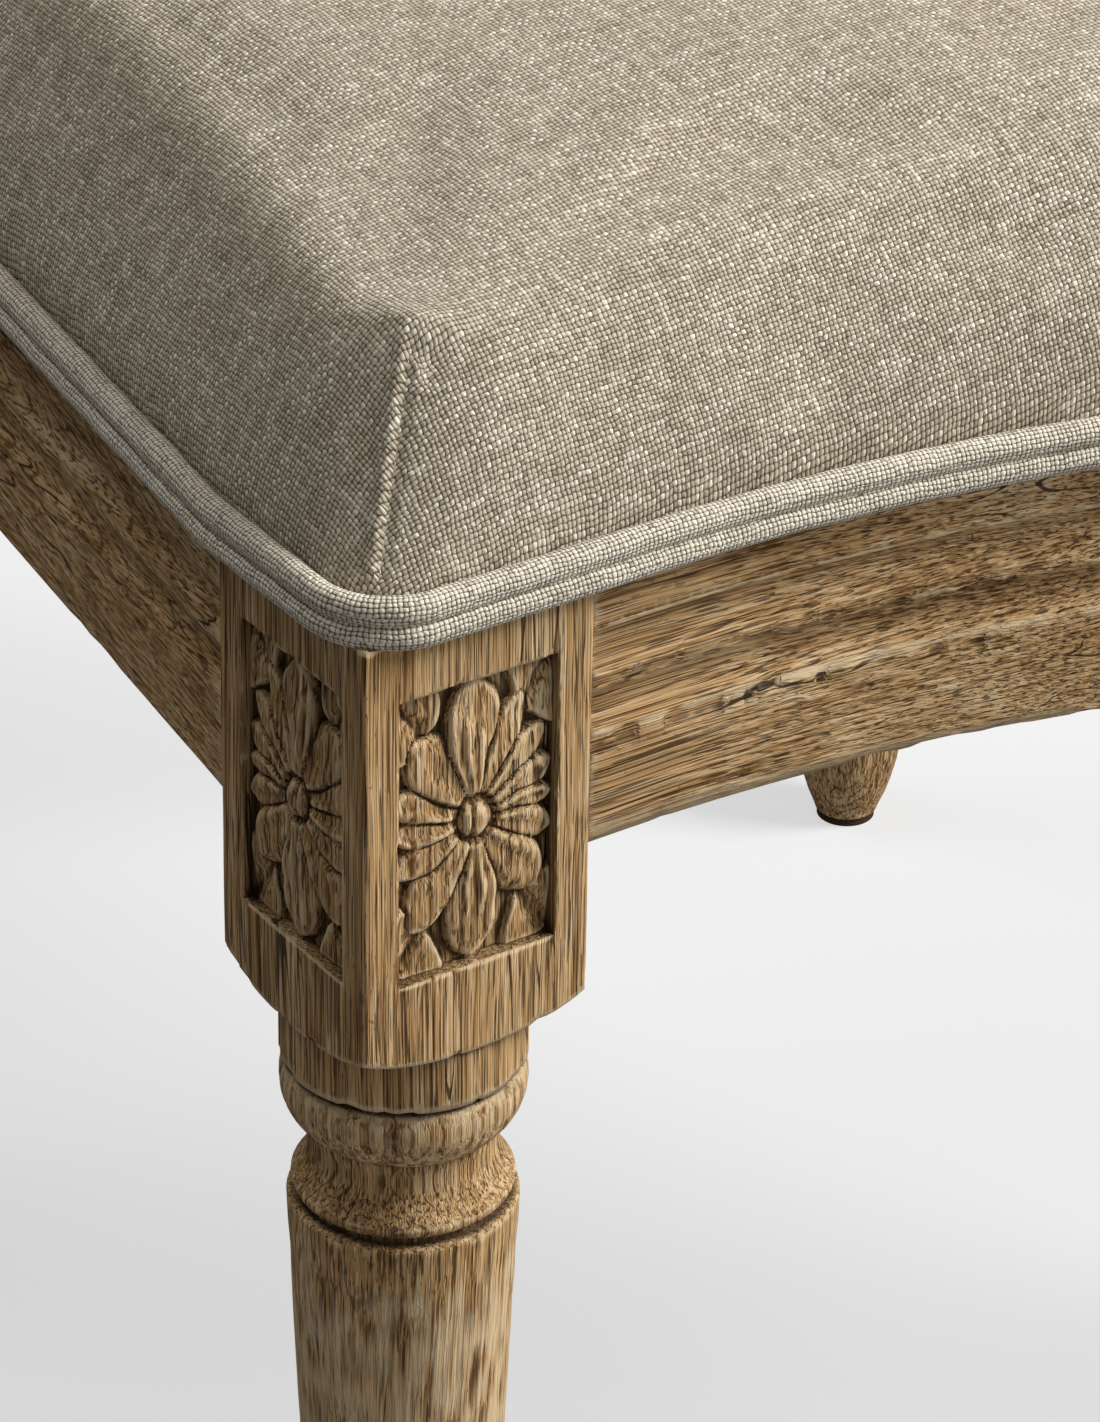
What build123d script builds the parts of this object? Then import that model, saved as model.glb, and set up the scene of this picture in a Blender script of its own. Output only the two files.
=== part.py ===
from build123d import *
import os
from math import atan2, cos, degrees, radians, sin, sqrt, tan

# Dining chair in weathered oak and linen, in millimetres, +Z up, front towards -Y.
# It is drawn with y = 0 on the front leg axes and moved at the end, so that the origin
# is on the floor under the middle of the whole chair.

# Stance
front_leg_spacing = 466.0  # between the front leg axes
rear_leg_spacing = 384.0  # between the rear leg axes
leg_depth = 400.0  # front leg axes to rear leg axes
ledge_height = 410.0  # top of the show wood, where the welt rests
glide_thickness = 2.0
glide_radius = 9.0

# Square leg blocks
front_block = 55.0
rear_block = 48.0
block_drop = 97.0  # ledge to the lower corners of a block
shoulder_height = 6.0  # turned shoulder below those corners
shoulder_step = 0.7  # overhang of the shoulder past the neck
block_edge = 1.0  # worn rounding of the block's upright edges
panel_margin = 8.3  # wood left beside a sunken panel
panel_drop = 14.0  # ledge to the top of a sunken panel
panel_height = 67.5
panel_depth = 4.2

# Turning of a front leg, in radii and heights; a rear leg is slimmer in proportion to its block
neck_radius = 26.4
neck_height = 14.0
quirk_depth = 2.4
quirk_height = 1.4
ovolo_radius = 25.5
ovolo_height = 15.3
ovolo_rise = 2.6
fillet_step = 0.8
fillet_height = 1.5
waist_radius = 20.8
cove_height = 13.2
cove_rise = 1.6
rim_radius = 24.0
rim_height = 2.8
rim_rise = 0.6
groove_radius = 22.6
groove_height = 1.4
shaft_top_radius = 25.0
shaft_edge = 1.2
shaft_bottom_radius = 16.5
ankle_height = 52.0
ankle_radius = 14.6
ring_radius = 18.6
ring_rise = 1.9
ring_top = 42.0
ring_bottom = 33.0
foot_tip_radius = 11.5
foot_edge = 2.0
foot_rise = 1.6

# Rails
rail_height = 60.0  # show face, below the ledge
rail_thickness = 28.0
rail_reveal = 1.2  # rail face behind the block face
tack_height = 14.0  # tack strip above the ledge
cove_drops = (18.0, 31.8)  # ledge to the middle of each cove of the moulding
rail_cove_radius = 7.5
rail_cove_offset = 5.2  # cove centre in front of the rail face
rail_straight = 10.0  # straight run of the front rail beside each block
bow_radius = 440.0  # hollow part of the front rail's bow
bow_angle = 15.0

# Joinery
tenon_length = 18.0
tenon_thickness = 11.0
tenon_height = 38.0
tenon_clearance = 0.15
corner_block_run = 62.0  # along a rail, past the leg block
corner_block_height = 36.0
corner_block_drop = 16.0  # ledge to the top of a corner block
fit_gap = 0.3  # soft pieces and loose pieces to their neighbours
screw_radius = 2.5
screw_length = 48.0
screw_head_radius = 5.0
screw_head_height = 2.5
dowel_radius = 4.0
dowel_length = 32.0
dowel_clearance = 0.1

# Rosettes
rosette_thickness = 2.8
rosette_draft = 22.0
petal_base = 4.0  # start of every petal, from the middle
tall_petal = (33.0, 12.0)  # reach and width
steep_petal = (26.5, 11.0)
slant_petal = (21.0, 10.0)
side_petal = (17.5, 9.0)
steep_angle = 62.0  # up from level
slant_angle = 32.0
button_radius = 5.0
button_height = 4.0

# Seat upholstery
cord_radius = 3.1
cord_spacing = 5.8  # the two cords of the double welt
welt_proud = 0.5  # cord middle in front of the show face
welt_corner = 16.0  # turn of the cords' middle line at the front corners
least_corner = 15.0  # tightest turn of the cover at those corners
cover_thickness = 1.2
strap_width = 50.0
strap_thickness = 1.4
strap_setback = 4.0  # strap ends behind the edge of the tack strips
lengthwise_straps = 5
crosswise_straps = 4
hessian_thickness = 1.0
kink_radius = 70.0  # where the side edge turns at the front block
seat_crown = 76.0  # top of the seat above the ledge
seat_lean = 22.0  # side of the seat from upright, degrees
crown_radius = 1700.0
seat_round = 13.0  # rounding of the seat's upper edge
dust_cover_thickness = 0.8
dust_cover_inset = 9.0

# Oval back
back_rake = 9.0
stile_width = 40.0
stile_thickness = 30.0
stile_foot = 32.0  # stile inside the block
stile_upright = 78.0  # straight part above the ledge
stile_waist_shift = 34.0  # outer edge drawn in at the waist
stile_waist_height = 165.0  # waist above the ledge, along the rake
stile_outer_bow = 6.8  # rise of the outer edge's lower curve
stile_inner_bow = 11.3  # rise of the inner edge's curve
stile_joint_top = 56.0  # top of the joint below the oval's middle
stile_dowel_angle = 38.0  # below level, about the oval's side arc
oval_half_width = 203.0
oval_half_height = 225.0
oval_centre = 357.0  # above the ledge, along the rake
oval_width = 40.0
oval_edge = 3.0
oval_rebate_width = 17.0
oval_rebate_depth = 7.0
oval_cove_place = 11.0  # outer edge to the middle of the cove
oval_cove_radius = 3.6
pad_lap = 4.0  # pad over the frame, past the opening
sheet_lap = 15.5
back_crown = 30.0
back_crown_radius = 1300.0
back_round = 12.0
panel_thickness = 4.0

# Places worked out from the sizes above
front_x = front_leg_spacing / 2
rear_x = rear_leg_spacing / 2
front_outer = front_x + front_block / 2
rear_outer = rear_x + rear_block / 2
front_face = -front_block / 2
rear_face = leg_depth + rear_block / 2
rail_bottom = ledge_height - rail_height
tack_top = ledge_height + tack_height
front_rail_half = front_x - front_block / 2
back_rail_half = rear_x - rear_block / 2
side_start = front_block / 2
side_end = leg_depth - rear_block / 2
side_angle = atan2(front_outer - rear_outer, side_end - side_start)
kink_start = side_start - kink_radius * tan(side_angle / 2)
side_run = rail_thickness / cos(side_angle)
tenon_middle = rail_bottom + (rail_height - tenon_height) / 2 + tenon_height / 2
bow = radians(bow_angle)
bow_start = front_rail_half - rail_straight
crest_radius = (bow_start - bow_radius * sin(bow)) / sin(bow)
welt_inset = -welt_proud
cover_inset = cord_radius + fit_gap - welt_proud
rebate = cover_inset + cover_thickness + fit_gap
notch_x = rear_x - stile_width / 2 - fit_gap
notch_y = leg_depth - stile_thickness / 2 / cos(radians(back_rake)) - fit_gap
padding_floor = tack_top + 2 * strap_thickness + hessian_thickness
neck_top = ledge_height - block_drop - shoulder_height

rake = radians(back_rake)
back_plane = Plane(
    origin=(0, leg_depth, ledge_height),
    x_dir=(1, 0, 0),
    z_dir=(0, -cos(rake), sin(rake)),
)
oval_shift = (oval_half_height - oval_half_width) / (2 - sqrt(2))
side_arc_radius = oval_half_width + oval_shift
end_arc_radius = oval_half_height - oval_shift
rebate_floor = stile_thickness / 2 - oval_rebate_depth  # from the middle of the back's thickness
pad_floor = rebate_floor + hessian_thickness + fit_gap


def bowed(start, end, rise):
    """Arc from start to end whose middle stands to the left of its chord by rise."""
    (x1, y1), (x2, y2) = start, end
    length = sqrt((x2 - x1) ** 2 + (y2 - y1) ** 2)
    middle = ((x1 + x2) / 2 - rise * (y2 - y1) / length, (y1 + y2) / 2 + rise * (x2 - x1) / length)
    return ThreePointArc(start, middle, end)


def raised(shape, height):
    """The shape moved up by height."""
    return Pos(0, 0, height) * shape


def box_between(low, high):
    """Box between two opposite corners, given in any order."""
    centre = [(a + b) / 2 for a, b in zip(low, high)]
    size = [abs(b - a) for a, b in zip(low, high)]
    return Pos(*centre) * Box(*size)


def turning(slim):
    """Turned part of a leg about the Z axis, from the foot up into the block."""
    neck_low = neck_top - neck_height
    ovolo_top = neck_low - quirk_height
    ovolo_low = ovolo_top - ovolo_height
    waist = ovolo_low - fillet_height
    rim_top = waist - cove_height
    rim_low = rim_top - rim_height
    shaft_top = rim_low - groove_height

    def at(radius, height):
        return (radius * slim, height)

    outline = [
        Line((0, glide_thickness), at(foot_tip_radius - foot_edge, glide_thickness)),
        bowed(
            at(foot_tip_radius - foot_edge, glide_thickness),
            at(foot_tip_radius, glide_thickness + foot_edge),
            -foot_edge / 4,
        ),
        bowed(at(foot_tip_radius, glide_thickness + foot_edge), at(ring_radius, ring_bottom), -foot_rise),
        bowed(at(ring_radius, ring_bottom), at(ring_radius, ring_top), -ring_rise),
        Line(at(ring_radius, ring_top), at(ankle_radius, ring_top)),
        bowed(at(ankle_radius, ring_top), at(shaft_bottom_radius, ankle_height), fillet_step),
        Line(at(shaft_bottom_radius, ankle_height), at(shaft_top_radius, shaft_top - shaft_edge)),
        bowed(
            at(shaft_top_radius, shaft_top - shaft_edge),
            at(shaft_top_radius - shaft_edge, shaft_top),
            -shaft_edge / 4,
        ),
        Polyline(
            at(shaft_top_radius - shaft_edge, shaft_top),
            at(groove_radius, shaft_top),
            at(groove_radius, rim_low),
        ),
        bowed(at(groove_radius, rim_low), at(rim_radius, rim_top), -rim_rise),
        bowed(at(rim_radius, rim_top), at(waist_radius, waist), cove_rise),
        Polyline(
            at(waist_radius, waist),
            at(waist_radius, ovolo_low),
            at(waist_radius + fillet_step, ovolo_low),
        ),
        bowed(at(waist_radius + fillet_step, ovolo_low), at(ovolo_radius, ovolo_top), -ovolo_rise),
        Polyline(
            at(ovolo_radius, ovolo_top),
            at(neck_radius - quirk_depth, ovolo_top),
            at(neck_radius - quirk_depth, neck_low),
            at(neck_radius, neck_low),
            at(neck_radius, neck_top + shoulder_height),
            (0, neck_top + shoulder_height),
            (0, glide_thickness),
        ),
    ]
    return revolve(Plane.XZ * make_face(outline), Axis.Z)


def leg_block(side, slim):
    """Square block up to the ledge, with lower corners turned to a shoulder."""
    corner = side / sqrt(2)
    step = (neck_radius + shoulder_step) * slim
    lowest = (step, neck_top)
    widest = (corner + shoulder_step, neck_top + shoulder_height)
    envelope = [
        Line((0, neck_top), lowest),
        bowed(lowest, widest, -shoulder_step),
        Polyline(widest, (widest[0], ledge_height), (0, ledge_height), (0, neck_top)),
    ]
    rounded = revolve(Plane.XZ * make_face(envelope), Axis.Z)
    square = box_between((-side / 2, -side / 2, neck_top), (side / 2, side / 2, ledge_height))
    square = fillet(square.edges().filter_by(Axis.Z), block_edge)
    return square & rounded


def sunken_panels(outward):
    """The two pockets of a front block: in its front face and its outer face."""
    half = front_block / 2
    reach = half - panel_margin
    top = ledge_height - panel_drop
    low = top - panel_height
    front = box_between((-reach, -half, low), (reach, -half + panel_depth, top))
    side = box_between((outward * half, -reach, low), (outward * (half - panel_depth), reach, top))
    return front + side


def tenon(root, heading, room=0.0):
    """Tenon that leaves a rail's end at root, or with some room the mortise that takes it."""
    length = tenon_length + room
    thickness = tenon_thickness + 2 * room
    height = tenon_height + 2 * room
    across = heading[0] == 0
    size = (thickness, length, height) if across else (length, thickness, height)
    centre = (root[0] + heading[0] * length / 2, root[1] + heading[1] * length / 2, tenon_middle)
    return Pos(*centre) * Box(*size)


def side_tenon_ends(outward):
    """Root and heading of a side rail's two tenons, front end first."""
    to_middle_line = outward * side_run / 2
    front = ((side_inner(outward, side_start) + to_middle_line, side_start), (0, -1))
    rear = ((side_inner(outward, side_end) + to_middle_line, side_end), (0, 1))
    return front, rear


def front_tenon_end(outward):
    """Root and heading of the front rail's tenon on one side."""
    return (outward * front_rail_half, front_face + rail_reveal + rail_thickness / 2), (outward, 0)


def back_tenon_end(outward):
    """Root and heading of the back rail's tenon on one side."""
    return (outward * back_rail_half, rear_face - rail_reveal - rail_thickness / 2), (outward, 0)


def front_leg(outward):
    """Front leg on the side that outward points to, with its pockets and mortises."""
    half = front_block / 2
    leg = leg_block(front_block, 1.0) + turning(1.0) - sunken_panels(outward)
    leg = Pos(outward * front_x, 0, 0) * leg
    inner = outward * front_rail_half
    head = box_between((outward * front_outer, -half, ledge_height), (inner, half, tack_top))
    leg += head & raised(extrude(seat_outline(rebate), tack_height), ledge_height)
    leg -= tenon(*front_tenon_end(outward), tenon_clearance)
    leg -= tenon(*side_tenon_ends(outward)[0], tenon_clearance)
    return leg - screw_hole("front", outward)


def stile_outline(outward):
    """Outline of one stile in the plane of the back, from inside the block to inside the oval."""
    outer = rear_x + stile_width / 2
    inner = rear_x - stile_width / 2
    drawn_in = outer - stile_waist_shift
    outer_foot = (outer, stile_upright / 2)
    outer_waist = (drawn_in, stile_waist_height)
    outer_end = (drawn_in, oval_centre - stile_joint_top)
    inner_foot = (inner, stile_upright)
    inner_end = (oval_half_width / sqrt(2) - oval_width, oval_centre - oval_half_height / sqrt(2))
    outer_low = bowed(outer_foot, outer_waist, stile_outer_bow)
    outer_high = TangentArc(outer_waist, outer_end, tangent=outer_low % 1)
    inner_edge = bowed(inner_end, inner_foot, stile_inner_bow)
    outline = [
        Polyline(inner_foot, (inner, -stile_foot), (outer, -stile_foot), outer_foot),
        outer_low,
        outer_high,
        Line(outer_end, inner_end),
        inner_edge,
    ]
    face = make_face(outline)
    return face if outward > 0 else mirror(face, Plane.YZ)


def rear_leg(outward):
    """Rear leg with its turning, block and raked stile, cut to seat the oval frame."""
    slim = rear_block / front_block
    leg = Pos(outward * rear_x, leg_depth, 0) * (leg_block(rear_block, slim) + turning(slim))
    stile = extrude(stile_outline(outward), stile_thickness / 2, both=True)
    oval = extrude(oval_face(-fit_gap / 2), stile_thickness, both=True)
    leg += back_plane * (stile - oval)
    leg -= tenon(*back_tenon_end(outward), tenon_clearance)
    leg -= tenon(*side_tenon_ends(outward)[1], tenon_clearance)
    leg -= dowel(stile_dowel_place(outward), dowel_clearance)
    return leg - screw_hole("rear", outward)


def front_curve(inset, half):
    """Plan of the bowed front at some inset behind its face, from left to right."""
    line = front_face + inset
    hollow = front_face - bow_radius
    crest = hollow + (bow_radius + crest_radius) * cos(bow)
    return [
        Line((-half, line), (-bow_start, line)),
        CenterArc((-bow_start, hollow), bow_radius + inset, 90, -bow_angle),
        CenterArc((0, crest), crest_radius - inset, 270 - bow_angle, 2 * bow_angle),
        CenterArc((bow_start, hollow), bow_radius + inset, 90 + bow_angle, -bow_angle),
        Line((bow_start, line), (half, line)),
    ]


def moulding(path):
    """The two coves that run along a rail's face; path is in plan, on the coves' middle line."""
    section = Plane(origin=path @ 0, z_dir=path % 0) * Circle(rail_cove_radius)
    cove = sweep(section, path)
    return [raised(cove, ledge_height - drop) for drop in cove_drops]


def rail(face_plan, tack_plan, path):
    """Rail from its plan below the ledge, its tack strip's plan and the line of its moulding."""
    show = raised(extrude(face_plan, rail_height), rail_bottom)
    strip = raised(extrude(tack_plan, tack_height), ledge_height)
    return (show + strip) - moulding(path)


def front_rail():
    """Bowed front rail with a straight inner face and a tenon at each end."""
    inner = front_face + rail_reveal + rail_thickness

    def plan(inset):
        curve = front_curve(inset, front_rail_half)
        behind = [(front_rail_half, inner), (-front_rail_half, inner)]
        return make_face(curve + [Polyline(curve[-1] @ 1, *behind, curve[0] @ 0)])

    path = Wire(front_curve(rail_reveal - rail_cove_offset, front_rail_half))
    body = rail(plan(rail_reveal), plan(rebate), path)
    return body + [tenon(*front_tenon_end(side)) for side in (-1, 1)]


def side_rail(outward):
    """Straight side rail that draws in towards the back."""
    slope = tan(side_angle)

    def plan(inset):
        shift = inset / cos(side_angle)
        front = (outward * (front_outer - shift), side_start)
        rear = (outward * (rear_outer - shift), side_end)
        front_inner = (side_inner(outward, side_start), side_start)
        rear_inner = (side_inner(outward, side_end), side_end)
        return make_face(Polyline(front, rear, rear_inner, front_inner, close=True))

    offset = (rail_reveal - rail_cove_offset) / cos(side_angle)
    spare = rail_cove_radius * 2
    path = Line(
        (outward * (front_outer - offset + spare * slope), side_start - spare),
        (outward * (rear_outer - offset - spare * slope), side_end + spare),
    )
    body = rail(plan(rail_reveal), plan(rebate), path)
    return body + [tenon(*end) for end in side_tenon_ends(outward)]


def back_rail():
    """Straight back rail between the rear blocks."""
    inner = rear_face - rail_reveal - rail_thickness

    def plan(inset):
        outer = rear_face - inset
        half = back_rail_half
        return make_face(Polyline((-half, outer), (half, outer), (half, inner), (-half, inner), close=True))

    line = rear_face - rail_reveal + rail_cove_offset
    path = Line((-back_rail_half, line), (back_rail_half, line))
    body = rail(plan(rail_reveal), plan(rebate), path)
    return body + [tenon(*back_tenon_end(side)) for side in (-1, 1)]


def petal(reach, width, angle):
    """One petal of a rosette, flat on the XY plane, pointing at angle from +X."""
    start, end = (petal_base, 0), (reach, 0)
    face = make_face([bowed(start, end, -width / 2), bowed(end, start, -width / 2)])
    return Rot(0, 0, angle) * extrude(face, rosette_thickness, taper=rosette_draft)


def rosette():
    """Carved flower on the XY plane: tall petals up and down, smaller ones between, a round button."""
    flower = Cylinder(petal_base * 2, rosette_thickness / 2, align=(Align.CENTER, Align.CENTER, Align.MIN))
    for angle in (90, 270):
        flower += petal(*tall_petal, angle)
    for rise, size in ((steep_angle, steep_petal), (slant_angle, slant_petal)):
        for angle in (rise, 180 - rise, 180 + rise, 360 - rise):
            flower += petal(*size, angle)
    for angle in (0, 180):
        flower += petal(*side_petal, angle)
    button = Cylinder(button_radius, button_height, align=(Align.CENTER, Align.CENTER, Align.MIN))
    button = fillet(button.edges().sort_by(Axis.Z)[-1], button_radius / 4)
    return flower + button


def rosettes():
    """The four rosettes, each on the ground of its sunken panel."""
    middle = ledge_height - panel_drop - panel_height / 2
    ground = front_block / 2 - panel_depth
    flower = rosette()
    placed = []
    for outward in (-1, 1):
        front = Plane(origin=(outward * front_x, -ground, middle), x_dir=(1, 0, 0), z_dir=(0, -1, 0))
        side = Plane(
            origin=(outward * (front_x + ground), 0, middle), x_dir=(0, outward, 0), z_dir=(outward, 0, 0)
        )
        placed += [front.location * flower, side.location * flower]
    return placed


def corner_frame(end, outward):
    """Leg block corner, rail faces and slope that a corner block fits, for one corner of the frame."""
    if end == "front":
        block = (outward * (front_x - front_block / 2 - fit_gap), front_block / 2 + fit_gap)
        rail_line = front_face + rail_reveal + rail_thickness
        away = 1
    else:
        block = (outward * (rear_x - rear_block / 2 - fit_gap), leg_depth - rear_block / 2 - fit_gap)
        rail_line = rear_face - rail_reveal - rail_thickness
        away = -1
    return block, rail_line, away


def side_inner(outward, y):
    """X of a side rail's inner face at y."""
    across = side_run + rail_reveal / cos(side_angle)
    return outward * (front_outer - across - (y - side_start) * tan(side_angle))


def corner_block(end, outward):
    """Glue block across one inside corner of the frame, notched round the leg block."""
    (block_x, block_y), rail_line, away = corner_frame(end, outward)
    far_y = block_y + away * corner_block_run
    plan = Polyline(
        (block_x, rail_line),
        (block_x - outward * corner_block_run, rail_line),
        (side_inner(outward, far_y), far_y),
        (side_inner(outward, block_y), block_y),
        (block_x, block_y),
        close=True,
    )
    body = raised(extrude(make_face(plan), -corner_block_height), ledge_height - corner_block_drop)
    return body - screw_place(end, outward) * screw_shank(fit_gap)


def screw_place(end, outward):
    """Seat of a corner screw's head: on the slanted face of its block, pointing away from the leg."""
    (block_x, block_y), rail_line, away = corner_frame(end, outward)
    far_y = block_y + away * corner_block_run
    near = Vector(block_x - outward * corner_block_run, rail_line)
    far = Vector(side_inner(outward, far_y), far_y)
    along = (far - near).normalized()
    normal = Vector(along.Y, -along.X)
    if normal.dot(Vector(outward, -away)) > 0:
        normal = normal * -1
    middle = (near + far) / 2
    height = ledge_height - corner_block_drop - corner_block_height / 2
    return Plane(origin=(middle.X, middle.Y, height), z_dir=(normal.X, normal.Y, 0)).location


def screw_shank(room=0.0):
    """Shank of a corner screw down its own -Z axis, or with some room the hole for it."""
    return Cylinder(screw_radius + room, screw_length + room, align=(Align.CENTER, Align.CENTER, Align.MAX))


def screw():
    """Round-headed corner screw, head on the XY plane."""
    head = Cylinder(screw_head_radius, screw_head_height, align=(Align.CENTER, Align.CENTER, Align.MIN))
    head = fillet(head.edges().sort_by(Axis.Z)[-1], screw_head_height / 2)
    return head + screw_shank()


def screw_hole(end, outward):
    """Pilot hole of the corner screw in one leg."""
    return screw_place(end, outward) * screw_shank(tenon_clearance)


def corner_screws():
    """All corner screws."""
    return [screw_place(end, side) * screw() for end in ("front", "rear") for side in (-1, 1)]


def glides():
    """Felt disc under each foot."""
    disc = Cylinder(glide_radius, glide_thickness, align=(Align.CENTER, Align.CENTER, Align.MIN))
    spots = [(side * front_x, 0) for side in (-1, 1)] + [(side * rear_x, leg_depth) for side in (-1, 1)]
    return [Pos(x, y, 0) * disc for x, y in spots]


def side_edge(inset, outward, end_y):
    """Plan of one side of the seat at some inset, from the front corner back to end_y."""
    corner = front_outer - inset
    centre = (outward * (front_outer - kink_radius), kink_start)
    swing = degrees(side_angle)
    if outward > 0:
        bend = CenterArc(centre, kink_radius - inset, 0, swing)
    else:
        bend = CenterArc(centre, kink_radius - inset, 180, -swing)
    leave = bend @ 1
    end = (leave.X - outward * (end_y - leave.Y) * tan(side_angle), end_y)
    return [
        Line((outward * corner, front_face + inset), (outward * corner, kink_start)),
        bend,
        Line(leave, end),
    ]


def front_corners(shape):
    """The two sharp front corners of a plan outline."""
    outer = [v for v in shape.vertices() if abs(v.X) > bow_start + fit_gap]
    return sorted(outer, key=lambda v: v.Y)[:2]


def seat_outline(inset):
    """Whole outline of the seat in plan at some inset from the show face, with turned front corners."""
    rear = rear_face - inset
    right = side_edge(inset, 1, rear)
    left = side_edge(inset, -1, rear)
    back = Line(right[-1] @ 1, left[-1] @ 1)
    outline = make_face(front_curve(inset, front_outer - inset) + right + [back] + left)
    straight = kink_start - front_face - inset
    turn = max(welt_corner - welt_proud - inset, least_corner)
    return fillet(front_corners(outline), min(turn, straight - fit_gap))


def stile_notches(room, height):
    """Space round the two stiles where the seat is cut away."""
    spare = front_block
    cuts = []
    for outward in (-1, 1):
        near = (outward * (notch_x - room), notch_y - room, ledge_height)
        far = (outward * (rear_outer + spare), rear_face + spare, ledge_height + height)
        cuts.append(box_between(near, far))
    return cuts


def seat_body(inset):
    """Crowned seat with upright foot and sides that lean in, at some depth below the cover's face."""
    base = cover_inset + inset
    lean = seat_crown * tan(radians(seat_lean))
    foot = raised(extrude(seat_outline(base), tack_height), ledge_height + fit_gap)
    low = raised(seat_outline(base), tack_top + fit_gap)
    high = raised(seat_outline(base + lean), tack_top + fit_gap + seat_crown)
    body = foot + loft([low, high], ruled=True)
    middle = (rear_face + front_face) / 2
    top = ledge_height + seat_crown - inset
    body = body & (Pos(0, middle, top - crown_radius) * Sphere(crown_radius))
    rim = body.faces().filter_by(GeomType.SPHERE)[0].edges()
    body = fillet(rim, seat_round - inset)
    return body - stile_notches(inset, seat_crown)


def seat_foam():
    """Padding that fills the cover, above the hessian."""
    floor = padding_floor + fit_gap
    below = raised(extrude(seat_outline(0.0), floor - ledge_height), ledge_height)
    return seat_body(cover_thickness + fit_gap) - below


def seat_cover():
    """Linen cover as a thin shell, open below."""
    return seat_body(0.0) - seat_body(cover_thickness)


def welt_section():
    """Section of the double welt: one cord above the other."""
    return Circle(cord_radius) + Pos(0, cord_spacing) * Circle(cord_radius)


def welt_along(wire):
    """Double welt along a plan line, resting on the ledge."""
    start = Plane(origin=wire @ 0, x_dir=Vector(0, 0, 1).cross(wire % 0), z_dir=wire % 0)
    return raised(sweep(start * welt_section(), wire), ledge_height + cord_radius + fit_gap)


def seat_welt():
    """Welt from one stile along the side, round the front and back to the other stile."""
    front = front_curve(welt_inset, front_outer - welt_inset)
    right = side_edge(welt_inset, 1, notch_y)
    left = side_edge(welt_inset, -1, notch_y)
    wire = Wire(left + front + right)
    return welt_along(wire.fillet_2d(welt_corner, front_corners(wire)))


def seat_rear_welt():
    """Welt along the back rail between the stiles."""
    line = rear_face - welt_inset
    return welt_along(Wire([Line((notch_x, line), (-notch_x, line))]))


def lengthwise_webbing():
    """Jute straps from the front rail to the back rail, on the tack strips."""
    front = front_face + rebate + strap_setback
    rear = rear_face - rebate - strap_setback
    span = 2 * (back_rail_half - strap_width / 2)
    step = span / (lengthwise_straps - 1)
    half = strap_width / 2
    strap = box_between((-half, front, tack_top), (half, rear, tack_top + strap_thickness))
    return [Pos(-span / 2 + n * step, 0, 0) * strap for n in range(lengthwise_straps)]


def crosswise_webbing():
    """Jute straps from side rail to side rail, over the first layer."""
    first = side_start + strap_width
    last = side_end - strap_width
    step = (last - first) / (crosswise_straps - 1)
    low = tack_top + strap_thickness
    straps = []
    for n in range(crosswise_straps):
        y = first + n * step
        near = y - strap_width / 2
        far = y + strap_width / 2
        half = side_inner(1, far) + side_run / 2
        straps.append(box_between((-half, near, low), (half, far, low + strap_thickness)))
    return straps


def seat_hessian():
    """Hessian over the webbing, inside the cover, which leans in from the top of the tack strips."""
    lean = (padding_floor - tack_top) * tan(radians(seat_lean))
    sheet = raised(extrude(seat_outline(rebate + lean + fit_gap), -hessian_thickness), padding_floor)
    return sheet - stile_notches(cover_thickness + fit_gap, seat_crown)


def dust_cover():
    """Thin cloth under the frame, cut round the leg blocks."""
    sheet = raised(extrude(seat_outline(dust_cover_inset), -dust_cover_thickness), rail_bottom)
    for outward in (-1, 1):
        for x, y, side in ((front_x, 0, front_block), (rear_x, leg_depth, rear_block)):
            room = side / 2 + fit_gap
            sheet -= Pos(outward * x, y, rail_bottom) * Box(2 * room, 2 * room, rail_height)
    return sheet


def oval_arcs(inset):
    """Centre, radius and start angle of the four arcs of the oval: right, top, left, bottom."""
    return [
        ((-oval_shift, oval_centre), side_arc_radius - inset, -45),
        ((0, oval_centre + oval_shift), end_arc_radius - inset, 45),
        ((oval_shift, oval_centre), side_arc_radius - inset, 135),
        ((0, oval_centre - oval_shift), end_arc_radius - inset, 225),
    ]


def oval_face(inset):
    """Oval in the plane of the back at some inset from the frame's outer edge."""
    return make_face([CenterArc(centre, radius, start, 90) for centre, radius, start in oval_arcs(inset)])


def oval_section():
    """Section of the oval frame: x is in from the outer edge, y is forward."""
    half = stile_thickness / 2
    section = Pos(oval_width / 2, 0) * Rectangle(oval_width, stile_thickness)
    outer = [v for v in section.vertices() if v.X < oval_edge]
    section = fillet(outer, oval_edge)
    for side in (-1, 1):
        corner = Pos(oval_width - oval_rebate_width / 2, side * (half - oval_rebate_depth / 2))
        section -= corner * Rectangle(oval_rebate_width, oval_rebate_depth)
        section -= Pos(oval_cove_place, side * half) * Circle(oval_cove_radius)
    return section


def around_oval(section, inset=0.0):
    """The section turned along each of the oval's four arcs: right, top, left, bottom."""
    pieces = []
    for centre, radius, start in oval_arcs(inset):
        angle = radians(start)
        outward = Vector(cos(angle), sin(angle), 0)
        origin = Vector(*centre, 0) + outward * radius
        place = Plane(origin=origin, x_dir=outward * -1, z_dir=Vector(0, 0, 1).cross(outward))
        axis = Axis((centre[0], centre[1], 0), (0, 0, 1))
        pieces.append(revolve(place * section, axis, 90))
    return pieces


def oval_dowel_places():
    """Middle of each dowel in the plane of the back: one across every joint of the oval."""
    places = []
    for centre, radius, start in oval_arcs(oval_width / 2 - oval_edge):
        angle = radians(start)
        spot = Vector(*centre, 0) + Vector(cos(angle), sin(angle), 0) * radius
        places.append(back_plane.location * Plane(spot, z_dir=(-sin(angle), cos(angle), 0)).location)
    return places


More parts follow.
